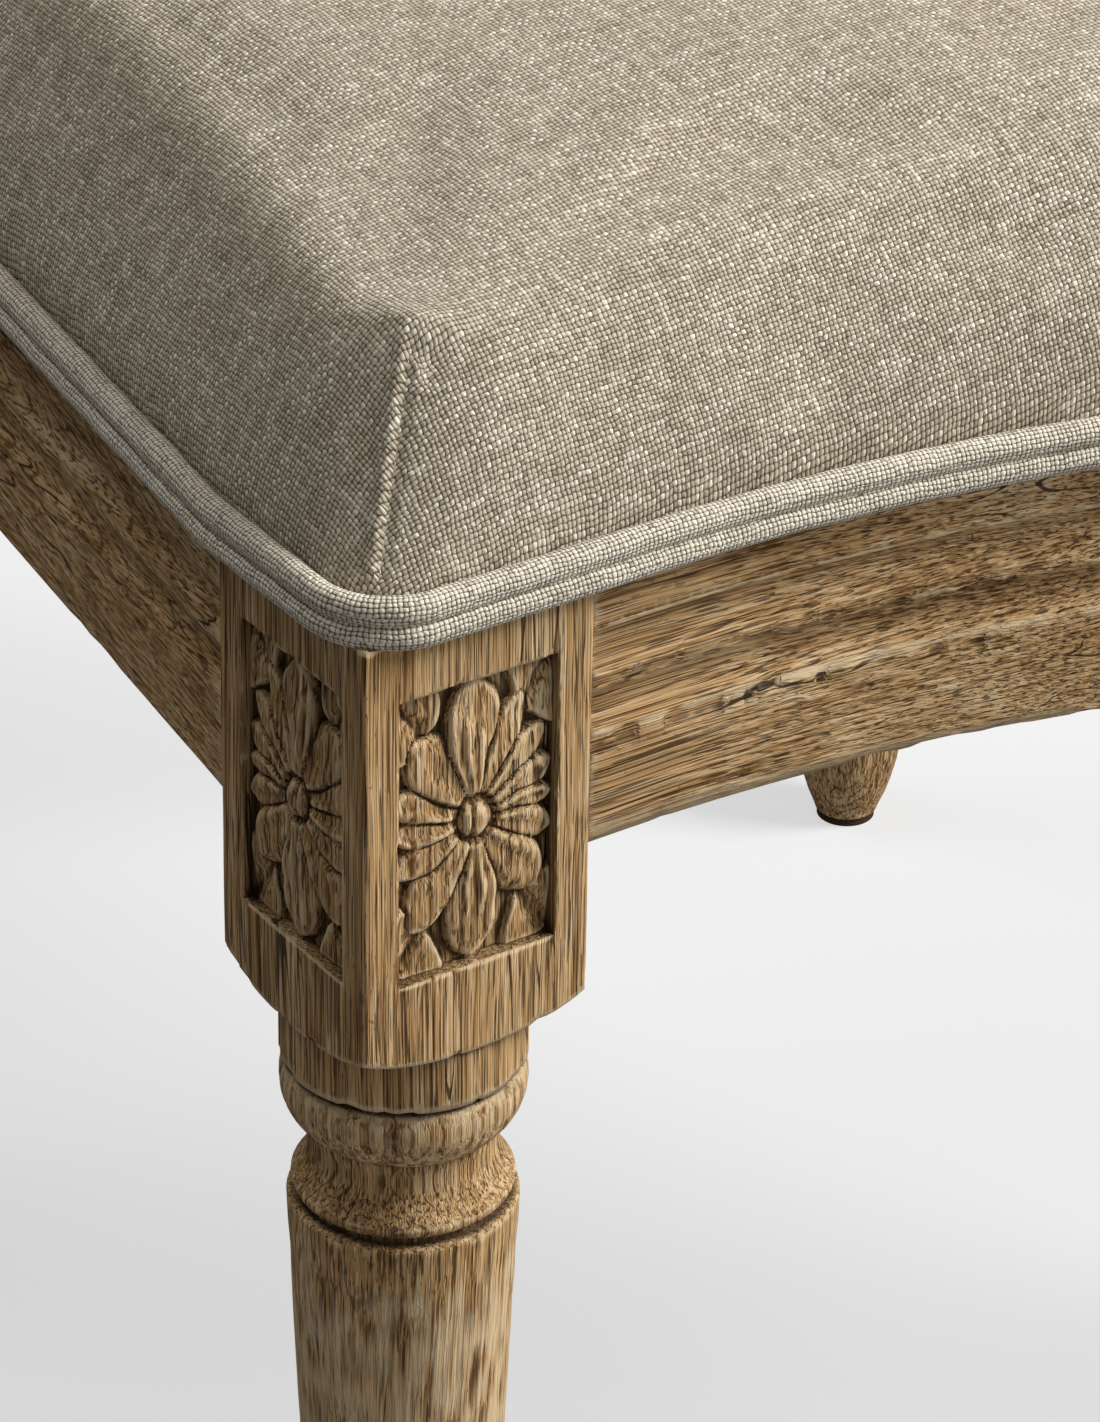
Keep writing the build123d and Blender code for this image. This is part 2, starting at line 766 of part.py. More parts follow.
def stile_dowel_place(outward):
    """Middle of the dowel between one stile and the oval, square to the oval's edge."""
    angle = radians(stile_dowel_angle)
    aim = Vector(outward * cos(angle), -sin(angle), 0)
    spot = Vector(-outward * oval_shift, oval_centre, 0) + aim * side_arc_radius
    return back_plane.location * Plane(spot, z_dir=aim).location


def all_dowel_places():
    """Middle of every dowel of the back."""
    return oval_dowel_places() + [stile_dowel_place(side) for side in (-1, 1)]


def dowel(place, room=0.0):
    """Dowel about a place's own Z axis, or with some room the hole for it."""
    return place * Cylinder(dowel_radius + room, dowel_length + 2 * room)


def back_frame():
    """The four segments of the oval frame, with their dowel holes, by name."""
    names = ("right", "top", "left", "bottom")
    holes = [dowel(place, dowel_clearance) for place in all_dowel_places()]
    pieces = around_oval(oval_section())
    return {f"back_frame_{name}": back_plane * piece - holes for name, piece in zip(names, pieces)}


def oval_sheet(lap, thickness, low):
    """Flat oval sheet over the opening, low being its rear face in front of the frame's middle."""
    sheet = extrude(oval_face(oval_width - lap), thickness)
    return back_plane * (Pos(0, 0, low) * sheet)


def oval_pad(inset):
    """Crowned pad of the inside back, at some depth below the cover's face."""
    block = Pos(0, 0, pad_floor) * extrude(oval_face(oval_width - pad_lap + inset), back_crown * 2)
    top = pad_floor + back_crown - inset
    ball = Pos(0, oval_centre, top - back_crown_radius) * Sphere(back_crown_radius)
    pad = block & ball
    rim = pad.faces().filter_by(GeomType.SPHERE)[0].edges()
    return fillet(rim, back_round - inset)


def back_foam():
    """Padding of the inside back."""
    return back_plane * oval_pad(cover_thickness + fit_gap)


def back_cover():
    """Linen of the inside back as a thin shell, open behind."""
    return back_plane * (oval_pad(0.0) - oval_pad(cover_thickness))


def oval_welt(side):
    """Double welt round the opening, on the front (1) or the rear (-1) of the frame."""
    inset = oval_width - pad_lap - fit_gap - cord_radius
    section = Circle(cord_radius) + Pos(-cord_spacing, 0) * Circle(cord_radius)
    section = Pos(0, side * (pad_floor + cord_radius)) * section
    first, *others = around_oval(section, inset)
    return back_plane * (first + others)


def solids_of(shape):
    """Every solid of a node, which is one shape or a list of shapes."""
    shapes = shape if isinstance(shape, list) else [shape]
    return [solid for one in shapes for solid in one.solids()]


seat_nodes = {
    "seat_webbing_lengthwise": lengthwise_webbing(),
    "seat_webbing_crosswise": crosswise_webbing(),
    "seat_hessian": seat_hessian(),
    "seat_foam": seat_foam(),
    "seat_cover": seat_cover(),
    "seat_welt": seat_welt(),
    "seat_rear_welt": seat_rear_welt(),
    "dust_cover": dust_cover(),
}

back_nodes = {
    "back_dowels": [dowel(place) for place in all_dowel_places()],
    "back_hessian": oval_sheet(sheet_lap, hessian_thickness, rebate_floor),
    "back_foam": back_foam(),
    "back_cover": back_cover(),
    "back_front_welt": oval_welt(1),
    "outside_back_panel": oval_sheet(-fit_gap, panel_thickness, -rebate_floor),
    "outside_back_cover": oval_sheet(sheet_lap, hessian_thickness, -rebate_floor - hessian_thickness),
    "back_rear_welt": oval_welt(-1),
}

frame_nodes = {
    "front_rail": front_rail(),
    "back_rail": back_rail(),
    "rosettes": rosettes(),
    "corner_screws": corner_screws(),
    "glides": glides(),
}
for side_name, side_sign in (("left", -1), ("right", 1)):
    frame_nodes[f"front_leg_{side_name}"] = front_leg(side_sign)
    frame_nodes[f"rear_leg_{side_name}"] = rear_leg(side_sign)
    frame_nodes[f"side_rail_{side_name}"] = side_rail(side_sign)
    for end_name in ("front", "rear"):
        frame_nodes[f"corner_block_{end_name}_{side_name}"] = corner_block(end_name, side_sign)

nodes = {**frame_nodes, **back_frame(), **seat_nodes, **back_nodes}
pieces = {name: solids_of(shape) for name, shape in nodes.items()}
whole = Compound([solid for solids in pieces.values() for solid in solids]).bounding_box()
to_middle = Pos(0, -whole.center().Y, 0)

os.makedirs("parts", exist_ok=True)
for name, solids in pieces.items():
    export_step(Compound([to_middle * solid for solid in solids]), f"parts/{name}.step")
print("whole", [round(v, 1) for v in whole.size])
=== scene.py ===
from math import atan2, cos, pi, radians, sin, sqrt, tan

import bmesh
import bpy
import numpy as np
from mathutils import Matrix, Vector, noise


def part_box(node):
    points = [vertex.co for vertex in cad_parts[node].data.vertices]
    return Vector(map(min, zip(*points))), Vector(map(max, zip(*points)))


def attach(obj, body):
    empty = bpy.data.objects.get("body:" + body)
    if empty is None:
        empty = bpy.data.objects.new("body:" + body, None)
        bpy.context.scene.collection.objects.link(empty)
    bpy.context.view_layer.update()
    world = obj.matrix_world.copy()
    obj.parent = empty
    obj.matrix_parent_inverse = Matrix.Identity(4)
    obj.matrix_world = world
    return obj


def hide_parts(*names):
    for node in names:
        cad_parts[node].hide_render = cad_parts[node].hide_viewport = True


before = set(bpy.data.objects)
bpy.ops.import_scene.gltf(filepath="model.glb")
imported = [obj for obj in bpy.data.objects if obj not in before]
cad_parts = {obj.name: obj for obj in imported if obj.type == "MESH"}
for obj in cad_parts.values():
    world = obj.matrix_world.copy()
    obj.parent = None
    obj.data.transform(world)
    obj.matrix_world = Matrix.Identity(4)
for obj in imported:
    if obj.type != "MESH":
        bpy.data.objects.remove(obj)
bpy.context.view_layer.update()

# Looks of a dining chair in weathered oak and linen, in metres, front towards -Y.

bl_info = {
    "name": "Oak and linen dining chair",
    "version": (1, 0, 0),
    "blender": (4, 5, 0),
    "location": "3D View > Sidebar > Chair",
    "description": "Dresses a medallion dining chair in weathered oak and linen",
    "category": "Object",
}

front_leg_low, front_leg_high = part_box("front_leg_right")
rear_leg_low, rear_leg_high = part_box("rear_leg_right")
half_width = front_leg_high.x
front_y = front_leg_low.y
rear_half = rear_leg_high.x
block_side = front_leg_high.x - front_leg_low.x
rear_block = 0.048
rear_y = rear_leg_low.y + rear_block
side_start = front_leg_high.y
side_end = rear_leg_low.y
side_angle = atan2(half_width - rear_half, side_end - side_start)
leg_axis_x = half_width - block_side / 2
leg_axis_y = front_y + block_side / 2
stile_inside = 0.1717
stile_front = 0.1602


def linear(code):
    """Linear colour of an sRGB hex code."""
    parts = [int(code[n:n + 2], 16) / 255 for n in (1, 3, 5)]
    return [v / 12.92 if v <= 0.04045 else ((v + 0.055) / 1.055) ** 2.4 for v in parts]


def dimmed(tone, share):
    """A colour times a share, which lightens it when over 1."""
    return [share * v for v in tone]


def length(name, description, default):
    """A length that the panel shows."""
    return bpy.props.FloatProperty(
        name=name, description=description, default=default, precision=5, unit="LENGTH", subtype="DISTANCE"
    )


def angle(name, description, degrees):
    """An angle that the panel shows."""
    return bpy.props.FloatProperty(
        name=name, description=description, default=radians(degrees), subtype="ANGLE"
    )


def colour(name, description, code):
    """A colour that the panel shows."""
    return bpy.props.FloatVectorProperty(
        name=name, description=description, default=linear(code), size=3, min=0, max=1, subtype="COLOR"
    )


class ChairSizes(bpy.types.PropertyGroup):
    """Sizes of the soft pieces and of the fine detail."""

    tack_height: length("Tack strip", "Height of the tack strip above the ledge", 0.014)
    bow_radius: length("Bow", "Radius of the hollow part of the bowed front", 0.440)
    bow_straight: length("Straight", "Straight run of the front beside each block", 0.010)
    kink_radius: length("Side turn", "Radius where the side edge turns at the front block", 0.070)
    cord_radius: length("Cord", "Radius of a welt cord", 0.0031)
    welt_corner: length("Welt corner", "Turn of the cords at the front corners", 0.016)
    seat_crown: length("Crown", "Top of the seat above the ledge", 0.074)
    crown_radius: length("Crown radius", "Radius of the domed seat", 1.7)
    seat_blend: length("Edge softness", "Width of the soft upper edge of the seat", 0.021)
    thread: length("Thread", "Spacing of the linen threads", 0.00105)
    ring_width: length("Ring width", "Spacing of the growth rings in the oak", 0.0014)
    panel_depth: length("Panel depth", "Depth of a sunken panel", 0.0042)
    panel_width: length("Panel width", "Width of a sunken panel", 0.0384)
    panel_height: length("Panel height", "Height of a sunken panel", 0.0675)
    panel_drop: length("Panel drop", "Ledge to the top of a sunken panel", 0.0140)
    oval_shift: length("Oval shift", "Offset of the arc centres of the oval back", 0.03756)
    side_arc: length("Side arc", "Radius of the oval's side arcs", 0.24056)
    end_arc: length("End arc", "Radius of the oval's end arcs", 0.18744)
    oval_height: length("Oval height", "Seat rail to the middle of the oval", 0.357)
    pad_inset: length("Pad inset", "Oval's outside to the edge of the padding", 0.036)
    pad_floor: length("Pad floor", "Mid-plane of the back to the edge of the padding", 0.0093)
    pad_crown: length("Pad crown", "Height of the back padding", 0.030)
    pad_round: length("Pad edge", "Rounding of the back padding's edge", 0.013)
    seat_lean: angle("Lean", "Side of the seat from upright", 22)
    bow_angle: angle("Bow angle", "Sweep of the hollow of the front", 15)
    back_rake: angle("Rake", "Lean of the back", 9)


class ChairColours(bpy.types.PropertyGroup):
    """Colours of the finishes."""

    # Also the painted highlight laid on crests, beside the rubbed wear.
    oak_rubbed_and_highlight: colour("Rubbed oak", "Crests and edges rubbed to bare wood", "#EBD0A6")
    oak_pale: colour("Pale oak", "Smooth early wood", "#D6AE7B")
    oak_mid: colour("Oak", "Body of the wood", "#B48B58")
    oak_deep: colour("Oak grain", "Grain lines", "#6B4824")
    # Also the painted shade laid in hollows and recesses, beside the real grime.
    oak_grime_and_shade: colour("Grime", "Pores, cracks and dirt left in hollows", "#36240F")
    beech: colour("Beech", "Unstained blocks and dowels", "#C79B6B")
    linen_pale: colour("Linen slub", "Thick pale threads", "#F8EEDC")
    # Painted light: a lighter copy of the cover's linen for the welts, so the cords render brighter than the
    # cover.
    linen_cord_painted_lighter: colour("Linen cord", "Threads of the welts, less soiled than the cover", "#EFE4D0")
    linen_mid: colour("Linen", "Most of the threads", "#CEC0A9")
    # Painted shade: the colour laid in the gaps between the threads.
    linen_gap_shade: colour("Linen gap", "Gaps between the threads", "#665942")
    jute: colour("Jute", "Webbing straps", "#9C7B4E")
    hessian: colour("Hessian", "Open sacking under the padding", "#A58A5F")
    cambric: colour("Cambric", "Dust cover", "#2A2927")
    board: colour("Board", "Fibreboard behind the padding", "#8B6A45")
    zinc: colour("Zinc", "Plated screws", "#C9CBCB")
    felt: colour("Felt", "Floor glides", "#4A3826")


def sizes():
    """The panel's sizes."""
    return bpy.context.scene.chair_sizes


def colours():
    """The panel's colours."""
    return bpy.context.scene.chair_colours


def ledge():
    """Height of the ledge that the welt rests on."""
    return front_leg_high.z - sizes().tack_height


def bell(away, width):
    """A smooth bump that is 1 where away is 0 and fades over some width."""
    return np.exp(-(away / width) ** 2)


# Plan of the seat

def front_line(x, inset):
    """Y of the bowed front at x, some inset behind the show face."""
    s = sizes()
    x = np.abs(x)
    start = half_width - block_side - s.bow_straight
    crest_radius = start / sin(s.bow_angle) - s.bow_radius
    hollow_y = front_y - s.bow_radius
    crest_y = hollow_y + (s.bow_radius + crest_radius) * cos(s.bow_angle)
    reach = s.bow_radius + inset
    hollow = hollow_y + np.sqrt(reach ** 2 - np.clip(start - x, 0, None) ** 2)
    crest = crest_y - np.sqrt(np.clip((crest_radius - inset) ** 2 - x ** 2, 0, None))
    return np.where(x < start - reach * sin(s.bow_angle), crest, hollow)


def side_line(y, inset):
    """X of the right side edge at y, some inset behind the show face."""
    radius = sizes().kink_radius
    turn_y = side_start - radius * tan(side_angle / 2)
    small = radius - inset
    leave_y = turn_y + small * sin(side_angle)
    leave_x = half_width - radius + small * cos(side_angle)
    bend = half_width - radius + np.sqrt(np.clip(small ** 2 - np.clip(y - turn_y, 0, None) ** 2, 0, None))
    slant = leave_x - (y - leave_y) * tan(side_angle)
    return np.where(y < leave_y, bend, slant)


def corner_turn(x, y, edge_x, edge_y, radius, on_front):
    """Points near a sharp front corner, moved onto an arc of some radius."""
    run = np.where(on_front, np.abs(x) - (edge_x - radius), radius - (y - edge_y))
    turn = np.clip(run / np.maximum(radius, 1e-6), 0, 1) * pi / 4
    turn = np.where(on_front, turn, pi / 2 - turn)
    turned_x = np.sign(x) * (edge_x - radius + radius * np.sin(turn))
    turned_y = edge_y + radius - radius * np.cos(turn)
    near = run > 0
    return np.where(near, turned_x, x), np.where(near, turned_y, y)


# Materials

def add(tree, kind, inputs=None, out=0, stops=(), **settings):
    """An output of a new shader node, its inputs set to values or linked to sockets."""
    made = tree.nodes.new("ShaderNode" + kind)
    for name, value in settings.items():
        setattr(made, name, value)
    for name, value in (inputs or {}).items():
        socket = made.inputs[name]
        if isinstance(value, bpy.types.NodeSocket):
            tree.links.new(value, socket)
        elif socket.type == "RGBA" and len(value) == 3:
            socket.default_value = (*value, 1)
        else:
            socket.default_value = value
    for number, (place, tone) in enumerate(stops):
        band = made.color_ramp.elements
        element = band[number] if number < 2 else band.new(place)
        element.position = place
        element.color = (*tone, 1)
    return made.outputs[out] if made.outputs else None


def maths(tree, operation, *values):
    """The result of a sum on numbers."""
    return add(tree, "Math", dict(enumerate(values)), operation=operation)


def vectors(tree, operation, *values, out=0):
    """The result of a sum on vectors."""
    return add(tree, "VectorMath", dict(enumerate(values)), out, operation=operation)


def blank_material(name):
    """A material and its empty node tree."""
    material = bpy.data.materials.new(name)
    material.use_nodes = True
    material.node_tree.nodes.clear()
    return material, material.node_tree


def surfaced(tree, body, height, depth, rough, specular, **more):
    """A matt surface with a colour and a relief of some depth."""
    bump = add(tree, "Bump", {"Height": height, "Strength": 0.9, "Distance": depth})
    inputs = {"Base Color": body, "Roughness": rough, "Specular IOR Level": specular, "Normal": bump}
    shader = add(tree, "BsdfPrincipled", {**inputs, **more})
    add(tree, "OutputMaterial", {"Surface": shader})


def oak(name, turn, seed):
    """Weathered oak: fine dark lines and open pores run along the grain, crests are rubbed pale with a
    painted highlight, and grime with painted shade stays in the hollows, so the eye reads old wood that has
    been brushed and waxed.

    Turn lays the pattern's Z axis, which the grain follows, along the piece."""
    c = colours()
    material, tree = blank_material(name)
    place = add(tree, "TexCoord", out="Object")
    along = add(tree, "Mapping", {"Vector": place, "Rotation": turn, "Location": (seed, seed, seed)})
    sway = add(tree, "TexNoise", {"Vector": along, "Scale": 9.0, "Detail": 2.0}, "Color")
    grain = vectors(tree, "MULTIPLY_ADD", sway, (0.005, 0.005, 0.005), along)
    streak = {}
    for kind, width, run, detail in (
        ("band", 0.0110, 0.24, 2.0), ("line", 0.0011, 0.085, 3.0), ("pore", 0.00042, 0.024, 1.0),
        ("fibre", 0.00034, 0.040, 2.0), ("stain", 0.020, 0.045, 4.0), ("crack", 0.0085, 0.17, 1.0),
        ("pit", 0.0014, 0.0030, 2.0),
    ):
        drawn = vectors(tree, "MULTIPLY", grain, (1 / width, 1 / width, 1 / run))
        streak[kind] = add(tree, "TexNoise", {"Vector": drawn, "Scale": 1.0, "Detail": detail})
    around = vectors(tree, "MULTIPLY_ADD", grain, (1, 1, 0.03), (0.07, 0.09, 0))
    reach = vectors(tree, "LENGTH", around, out="Value")
    count = add(tree, "Math", {0: reach, 1: 1 / sizes().ring_width}, operation="MULTIPLY")
    count = maths(tree, "MULTIPLY_ADD", streak["band"], 2.5, count)
    ring = maths(tree, "FRACT", count)

    tone = maths(tree, "MULTIPLY_ADD", streak["line"], 0.75, 0.0)
    for part, share in ((streak["band"], 0.40), (streak["fibre"], 0.45), (streak["stain"], 0.40)):
        tone = maths(tree, "MULTIPLY_ADD", part, share, tone)
    level = add(tree, "MapRange", {"Value": tone, "From Min": 0.78, "From Max": 1.22})
    body = add(
        tree, "ValToRGB", {"Fac": level},
        stops=((0.0, c.oak_deep), (1.0, c.oak_rubbed_and_highlight), (0.30, c.oak_mid), (0.66, c.oak_pale)),
    )

    # Mixes real stains and wear, and also painted highlight and painted shade, into the wood.
    def stain_or_painted_light(base, mask, none, full, share, tint):
        """Base mixed towards a tint as the mask goes from none to full, and how far it is mixed."""
        dark = add(
            tree, "MapRange", {"Value": mask, "From Min": none, "From Max": full, "To Max": share},
            interpolation_type="SMOOTHSTEP",
        )
        return add(tree, "Mix", {"Factor": dark, 6: base, 7: tint}, 2, data_type="RGBA"), dark

    thin = maths(tree, "MULTIPLY_ADD", streak["line"], 0.9, ring)
    body, lines = stain_or_painted_light(body, thin, 0.64, 0.50, 0.75, c.oak_deep)
    body, pores = stain_or_painted_light(body, streak["pore"], 0.44, 0.38, 0.80, c.oak_grime_and_shade)
    body, _ = stain_or_painted_light(body, streak["fibre"], 0.56, 0.68, 0.40, c.oak_rubbed_and_highlight)
    near = maths(tree, "SUBTRACT", streak["crack"], 0.5)
    near = maths(tree, "ABSOLUTE", near)
    near = maths(tree, "MULTIPLY_ADD", streak["stain"], -0.05, near)
    body, cracks = stain_or_painted_light(body, near, -0.0225, -0.0265, 0.9, c.oak_grime_and_shade)
    pitted = maths(tree, "ADD", streak["pit"], streak["stain"])
    body, pits = stain_or_painted_light(body, pitted, 0.80, 0.70, 0.38, c.oak_grime_and_shade)

    # Crest mark: paler on crests (rubbed wear with a painted highlight), darker in hollows (grime with
    # painted shade).
    crest = add(tree, "Attribute", None, "Fac", attribute_name="crest")
    ragged = maths(tree, "MULTIPLY_ADD", streak["line"], 0.9, crest)
    body, _ = stain_or_painted_light(body, ragged, 0.62, 1.15, 0.75, c.oak_rubbed_and_highlight)
    body, _ = stain_or_painted_light(body, ragged, 0.34, -0.25, 0.80, c.oak_grime_and_shade)
    # Ambient occlusion darkens recesses and the sunken panels: painted shade, with some grime.
    hollow = add(tree, "AmbientOcclusion", {"Distance": 0.012}, "AO", samples=4, only_local=True)
    body, _ = stain_or_painted_light(body, hollow, 0.95, 0.35, 0.80, c.oak_grime_and_shade)

    relief = maths(tree, "MULTIPLY_ADD", streak["fibre"], 0.6, tone)
    for part, share in ((lines, -0.8), (pores, -0.7), (cracks, -1.2), (pits, -0.8)):
        relief = maths(tree, "MULTIPLY_ADD", part, share, relief)
    surfaced(tree, body, relief, depth=0.00045, rough=0.76, specular=0.22)
    return material


def beech(name):
    """Plain beech of the hidden blocks and dowels: pale, close-grained and bare, with small dark flecks."""
    c = colours()
    material, tree = blank_material(name)
    place = add(tree, "TexCoord", out="Object")
    drawn = vectors(tree, "MULTIPLY", place, (300, 1200, 1200))
    fleck = add(tree, "TexNoise", {"Vector": drawn, "Scale": 1.0, "Detail": 3.0})
    dark = dimmed(c.beech, 0.7)
    body = add(tree, "ValToRGB", {"Fac": fleck}, stops=((0.30, dark), (0.55, c.beech)))
    surfaced(tree, body, fleck, depth=0.0002, rough=0.6, specular=0.3)
    return material


def woven(name, thread, pale, mid, gap_shade):
    """Plain-weave cloth: threads pass over and under each other, so each crossing is a small bright
    pillow with painted shade in the gap at its corners, and uneven yarn shows as slubs and flecks.

    The UV map is in metres."""
    material, tree = blank_material(name)
    flat = add(tree, "UVMap", uv_map="cloth")
    for scale, sway in ((60.0, 1.7 * thread), (420.0, 0.7 * thread)):
        wander = add(tree, "TexNoise", {"Vector": flat, "Scale": scale, "Detail": 1.0}, "Color")
        flat = vectors(tree, "MULTIPLY_ADD", wander, (sway, sway, 0), flat)
    counted = add(tree, "VectorMath", {0: flat, "Scale": 1 / thread}, operation="SCALE")
    cell = vectors(tree, "FLOOR", counted)
    within = vectors(tree, "FRACTION", counted)
    swell = vectors(tree, "MULTIPLY", within, (pi, pi, 0))
    swell = vectors(tree, "SINE", swell)
    odd = vectors(tree, "DOT_PRODUCT", cell, (1, 1, 0), out="Value")
    odd = maths(tree, "FLOORED_MODULO", odd, 2.0)
    one = {}
    for axis in "XY":
        other = "Y" if axis == "X" else "X"
        across = add(tree, "SeparateXYZ", {0: swell}, axis)
        down = add(tree, "SeparateXYZ", {0: swell}, other)
        arch = maths(tree, "MULTIPLY_ADD", down, 0.60, 0.40)
        rounded = maths(tree, "POWER", across, 0.60)
        number = add(tree, "SeparateXYZ", {0: cell}, axis)
        run = add(tree, "SeparateXYZ", {0: counted}, other)
        spot = add(tree, "CombineXYZ", {axis: number, other: run})
        steps = (7.31, 0.11, 0) if axis == "X" else (0.09, 5.77, 0)
        spot = vectors(tree, "MULTIPLY", spot, steps)
        yarn = add(tree, "TexNoise", {"Vector": spot, "Scale": 1.0, "Detail": 3.0, "Roughness": 0.7})
        one[axis] = maths(tree, "MULTIPLY", rounded, arch), yarn
    warp = maths(tree, "MULTIPLY", one["X"][0], 0.80)
    height = add(tree, "Mix", {"Factor": odd, 2: one["Y"][0], 3: warp}, data_type="FLOAT")
    yarn = add(tree, "Mix", {"Factor": odd, 2: one["Y"][1], 3: one["X"][1]}, data_type="FLOAT")
    chance = add(tree, "TexWhiteNoise", {"Vector": cell}, noise_dimensions="2D")
    fuzz = add(tree, "TexNoise", {"Vector": counted, "Scale": 2.4, "Detail": 3.0})
    shade = maths(tree, "MULTIPLY_ADD", chance, 0.20, yarn)
    shade = maths(tree, "MULTIPLY_ADD", odd, -0.09, shade)
    body = add(
        tree, "ValToRGB", {"Fac": shade},
        stops=((0.30, dimmed(mid, 0.60)), (0.80, pale), (0.44, dimmed(mid, 0.84)), (0.58, mid)),
    )
    full = maths(tree, "MULTIPLY_ADD", yarn, 0.7, height)
    full = maths(tree, "MULTIPLY_ADD", fuzz, 0.6, full)
    # Low parts of the weave are mixed towards the gap colour: painted shade between the threads.
    lit = add(
        tree, "MapRange", {"Value": full, "From Min": 0.84, "From Max": 1.24},
        interpolation_type="SMOOTHSTEP",
    )
    body = add(tree, "Mix", {"Factor": lit, 6: gap_shade, 7: body}, 2, data_type="RGBA")
    sheen = {"Sheen Weight": 0.12, "Sheen Roughness": 0.5}
    surfaced(tree, body, full, depth=thread * 0.36, rough=0.88, specular=0.15, **sheen)
    return material


def speckled(name, tone, grain, depth, rough, metal=0.0):
    """A plain material that looks grained close by: pressed fibres of board, felt, or plated metal."""
    material, tree = blank_material(name)
    place = add(tree, "TexCoord", out="Object")
    speck = add(tree, "TexNoise", {"Vector": place, "Scale": 1 / grain, "Detail": 4.0})
    dark = dimmed(tone, 0.65)
    body = add(tree, "ValToRGB", {"Fac": speck}, stops=((0.35, dark), (0.62, tone)))
    surfaced(tree, body, speck, depth, rough, specular=0.3, Metallic=metal)
    return material


# Meshes

def finished(name, bm, material, slot, *nodes):
    """The bmesh as a smooth piece that rides on the chair and stands for some nodes."""
    mesh = bpy.data.meshes.new(name)
    bm.to_mesh(mesh)
    bm.free()
    piece = bpy.data.objects.new(name, mesh)
    bpy.context.scene.collection.objects.link(piece)
    mesh.materials.append(material)
    mesh.shade_smooth()
    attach(piece, "root")
    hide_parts(*nodes)
    return piece


def coordinates(mesh, kind="co"):
    """The vertices of a mesh, or their normals, as an array."""
    flat = np.empty(len(mesh.vertices) * 3)
    mesh.vertices.foreach_get(kind, flat)
    return flat.reshape(-1, 3)


def place_vertices(mesh, spots):
    """Move the vertices of a mesh."""
    mesh.vertices.foreach_set("co", np.ascontiguousarray(spots).ravel())
    mesh.update()


def numbers(items, name, each=1):
    """One whole-number setting of every item of a mesh, as an array."""
    flat = np.empty(len(items) * each, dtype=np.int32)
    items.foreach_get(name, flat)
    return flat


def lay_cloth(mesh, u, v):
    """UV map in metres from one pair of values for each vertex."""
    corner = numbers(mesh.loops, "vertex_index")
    layer = mesh.uv_layers.new(name="cloth")
    layer.data.foreach_set("uv", np.column_stack([u[corner], v[corner]]).ravel())


def applied(piece, kind, **settings):
    """The piece's mesh replaced by its form under one modifier."""
    modifier = piece.modifiers.new("form", kind)
    for name, value in settings.items():
        setattr(modifier, name, value)
    dense = bpy.data.meshes.new_from_object(piece.evaluated_get(bpy.context.evaluated_depsgraph_get()))
    piece.modifiers.remove(modifier)
    old = piece.data
    piece.data = dense
    bpy.data.meshes.remove(old)
    dense.name = piece.name
    dense.shade_smooth()
    return dense


def field(spots, scale, seed):
    """Smooth noise at every point, of some scale per axis in cells per metre."""
    return np.array([noise.noise(p) for p in spots * scale + seed])


def smoothed(mesh, rounds):
    """Places of the vertices after some rounds of moving each to the middle of its neighbours."""
    edges = numbers(mesh.edges, "vertices", 2)
    first, last = edges.reshape(-1, 2).T
    spots = coordinates(mesh)
    count = np.bincount(edges, minlength=len(spots))
    for _ in range(rounds):
        sums = [
            np.bincount(first, axis[last], len(axis)) + np.bincount(last, axis[first], len(axis))
            for axis in spots.T
        ]
        spots = np.column_stack(sums) / count[:, None]
    return spots


def grown(bm, edges):
    """New vertices and edges of some border edges, drawn out and still to be moved."""
    made = bmesh.ops.extrude_edge_only(bm, edges=edges)["geom"]
    fresh = [g for g in made if isinstance(g, bmesh.types.BMVert)]
    return fresh, [g for g in made if isinstance(g, bmesh.types.BMEdge)]


# Oak

across_axis, depth_axis, up_axis = range(3)
crest_drops = (0.0234, 0.0372)
leg_shown = 0.16
side_shown = 0.192
front_shown = 0.010
block_edge, shaft_edge = 0.0023, 0.008
side_edge, side_hidden_edge = 0.0060, 0.012
front_edge, front_hidden_edge = 0.0032, 0.010
back_edge = 0.0060
plain_edge = 0.0050
head_gap = 0.0005
edge_drop = 0.0026
edge_behind = 0.009
edge_behind_fade = 0.002
edge_below = 0.045
edge_below_fade = 0.010
oak_sharp = radians(32)
crest_rounds = 3
crest_share = 0.25
grain_stretch = 0.45
patch_cells = 40
chip_cells = 260
chip_depth = 0.0005
wave_cells = 38
wave_depth = 0.00012
torn_cells = 420
torn_depth = 0.0008
torn_drop = 0.0028
torn_spread = 0.0024


def stands_out(mesh, rounds):
    """How far each vertex stands out of the middle of its neighbours, in metres."""
    return ((coordinates(mesh) - smoothed(mesh, rounds)) * coordinates(mesh, "normal")).sum(axis=1)


def mark_crests(mesh, rounds, full):
    """Store how far each vertex stands out, from -1 in a hollow to 1 on a crest, for the wood to read:
    it paints a highlight on crests beside their rubbed wear, and shade beside grime in hollows.
    """
    crest = mesh.attributes.new("crest", "FLOAT", "POINT")
    crest.data.foreach_set("value", np.clip(stands_out(mesh, rounds) / full, -1, 1))


def refined(name, fine, coarse=None, near=None):
    """Merged copy of a node's mesh with its long edges split, finely where near says so or all over."""
    bm = bmesh.new()
    bm.from_mesh(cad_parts[name].data)
    bmesh.ops.remove_doubles(bm, verts=bm.verts, dist=1e-6)
    for _ in range(10):
        long = []
        for edge in bm.edges:
            first, last = edge.verts
            most = fine if near is None or near((first.co + last.co) / 2) else coarse
            if edge.calc_length() > most:
                long.append(edge)
        if not long:
            break
        bmesh.ops.subdivide_edges(bm, edges=long, cuts=1, use_grid_fill=True)
        bmesh.ops.triangulate(bm, faces=[f for f in bm.faces if len(f.verts) > 3])
    return bm


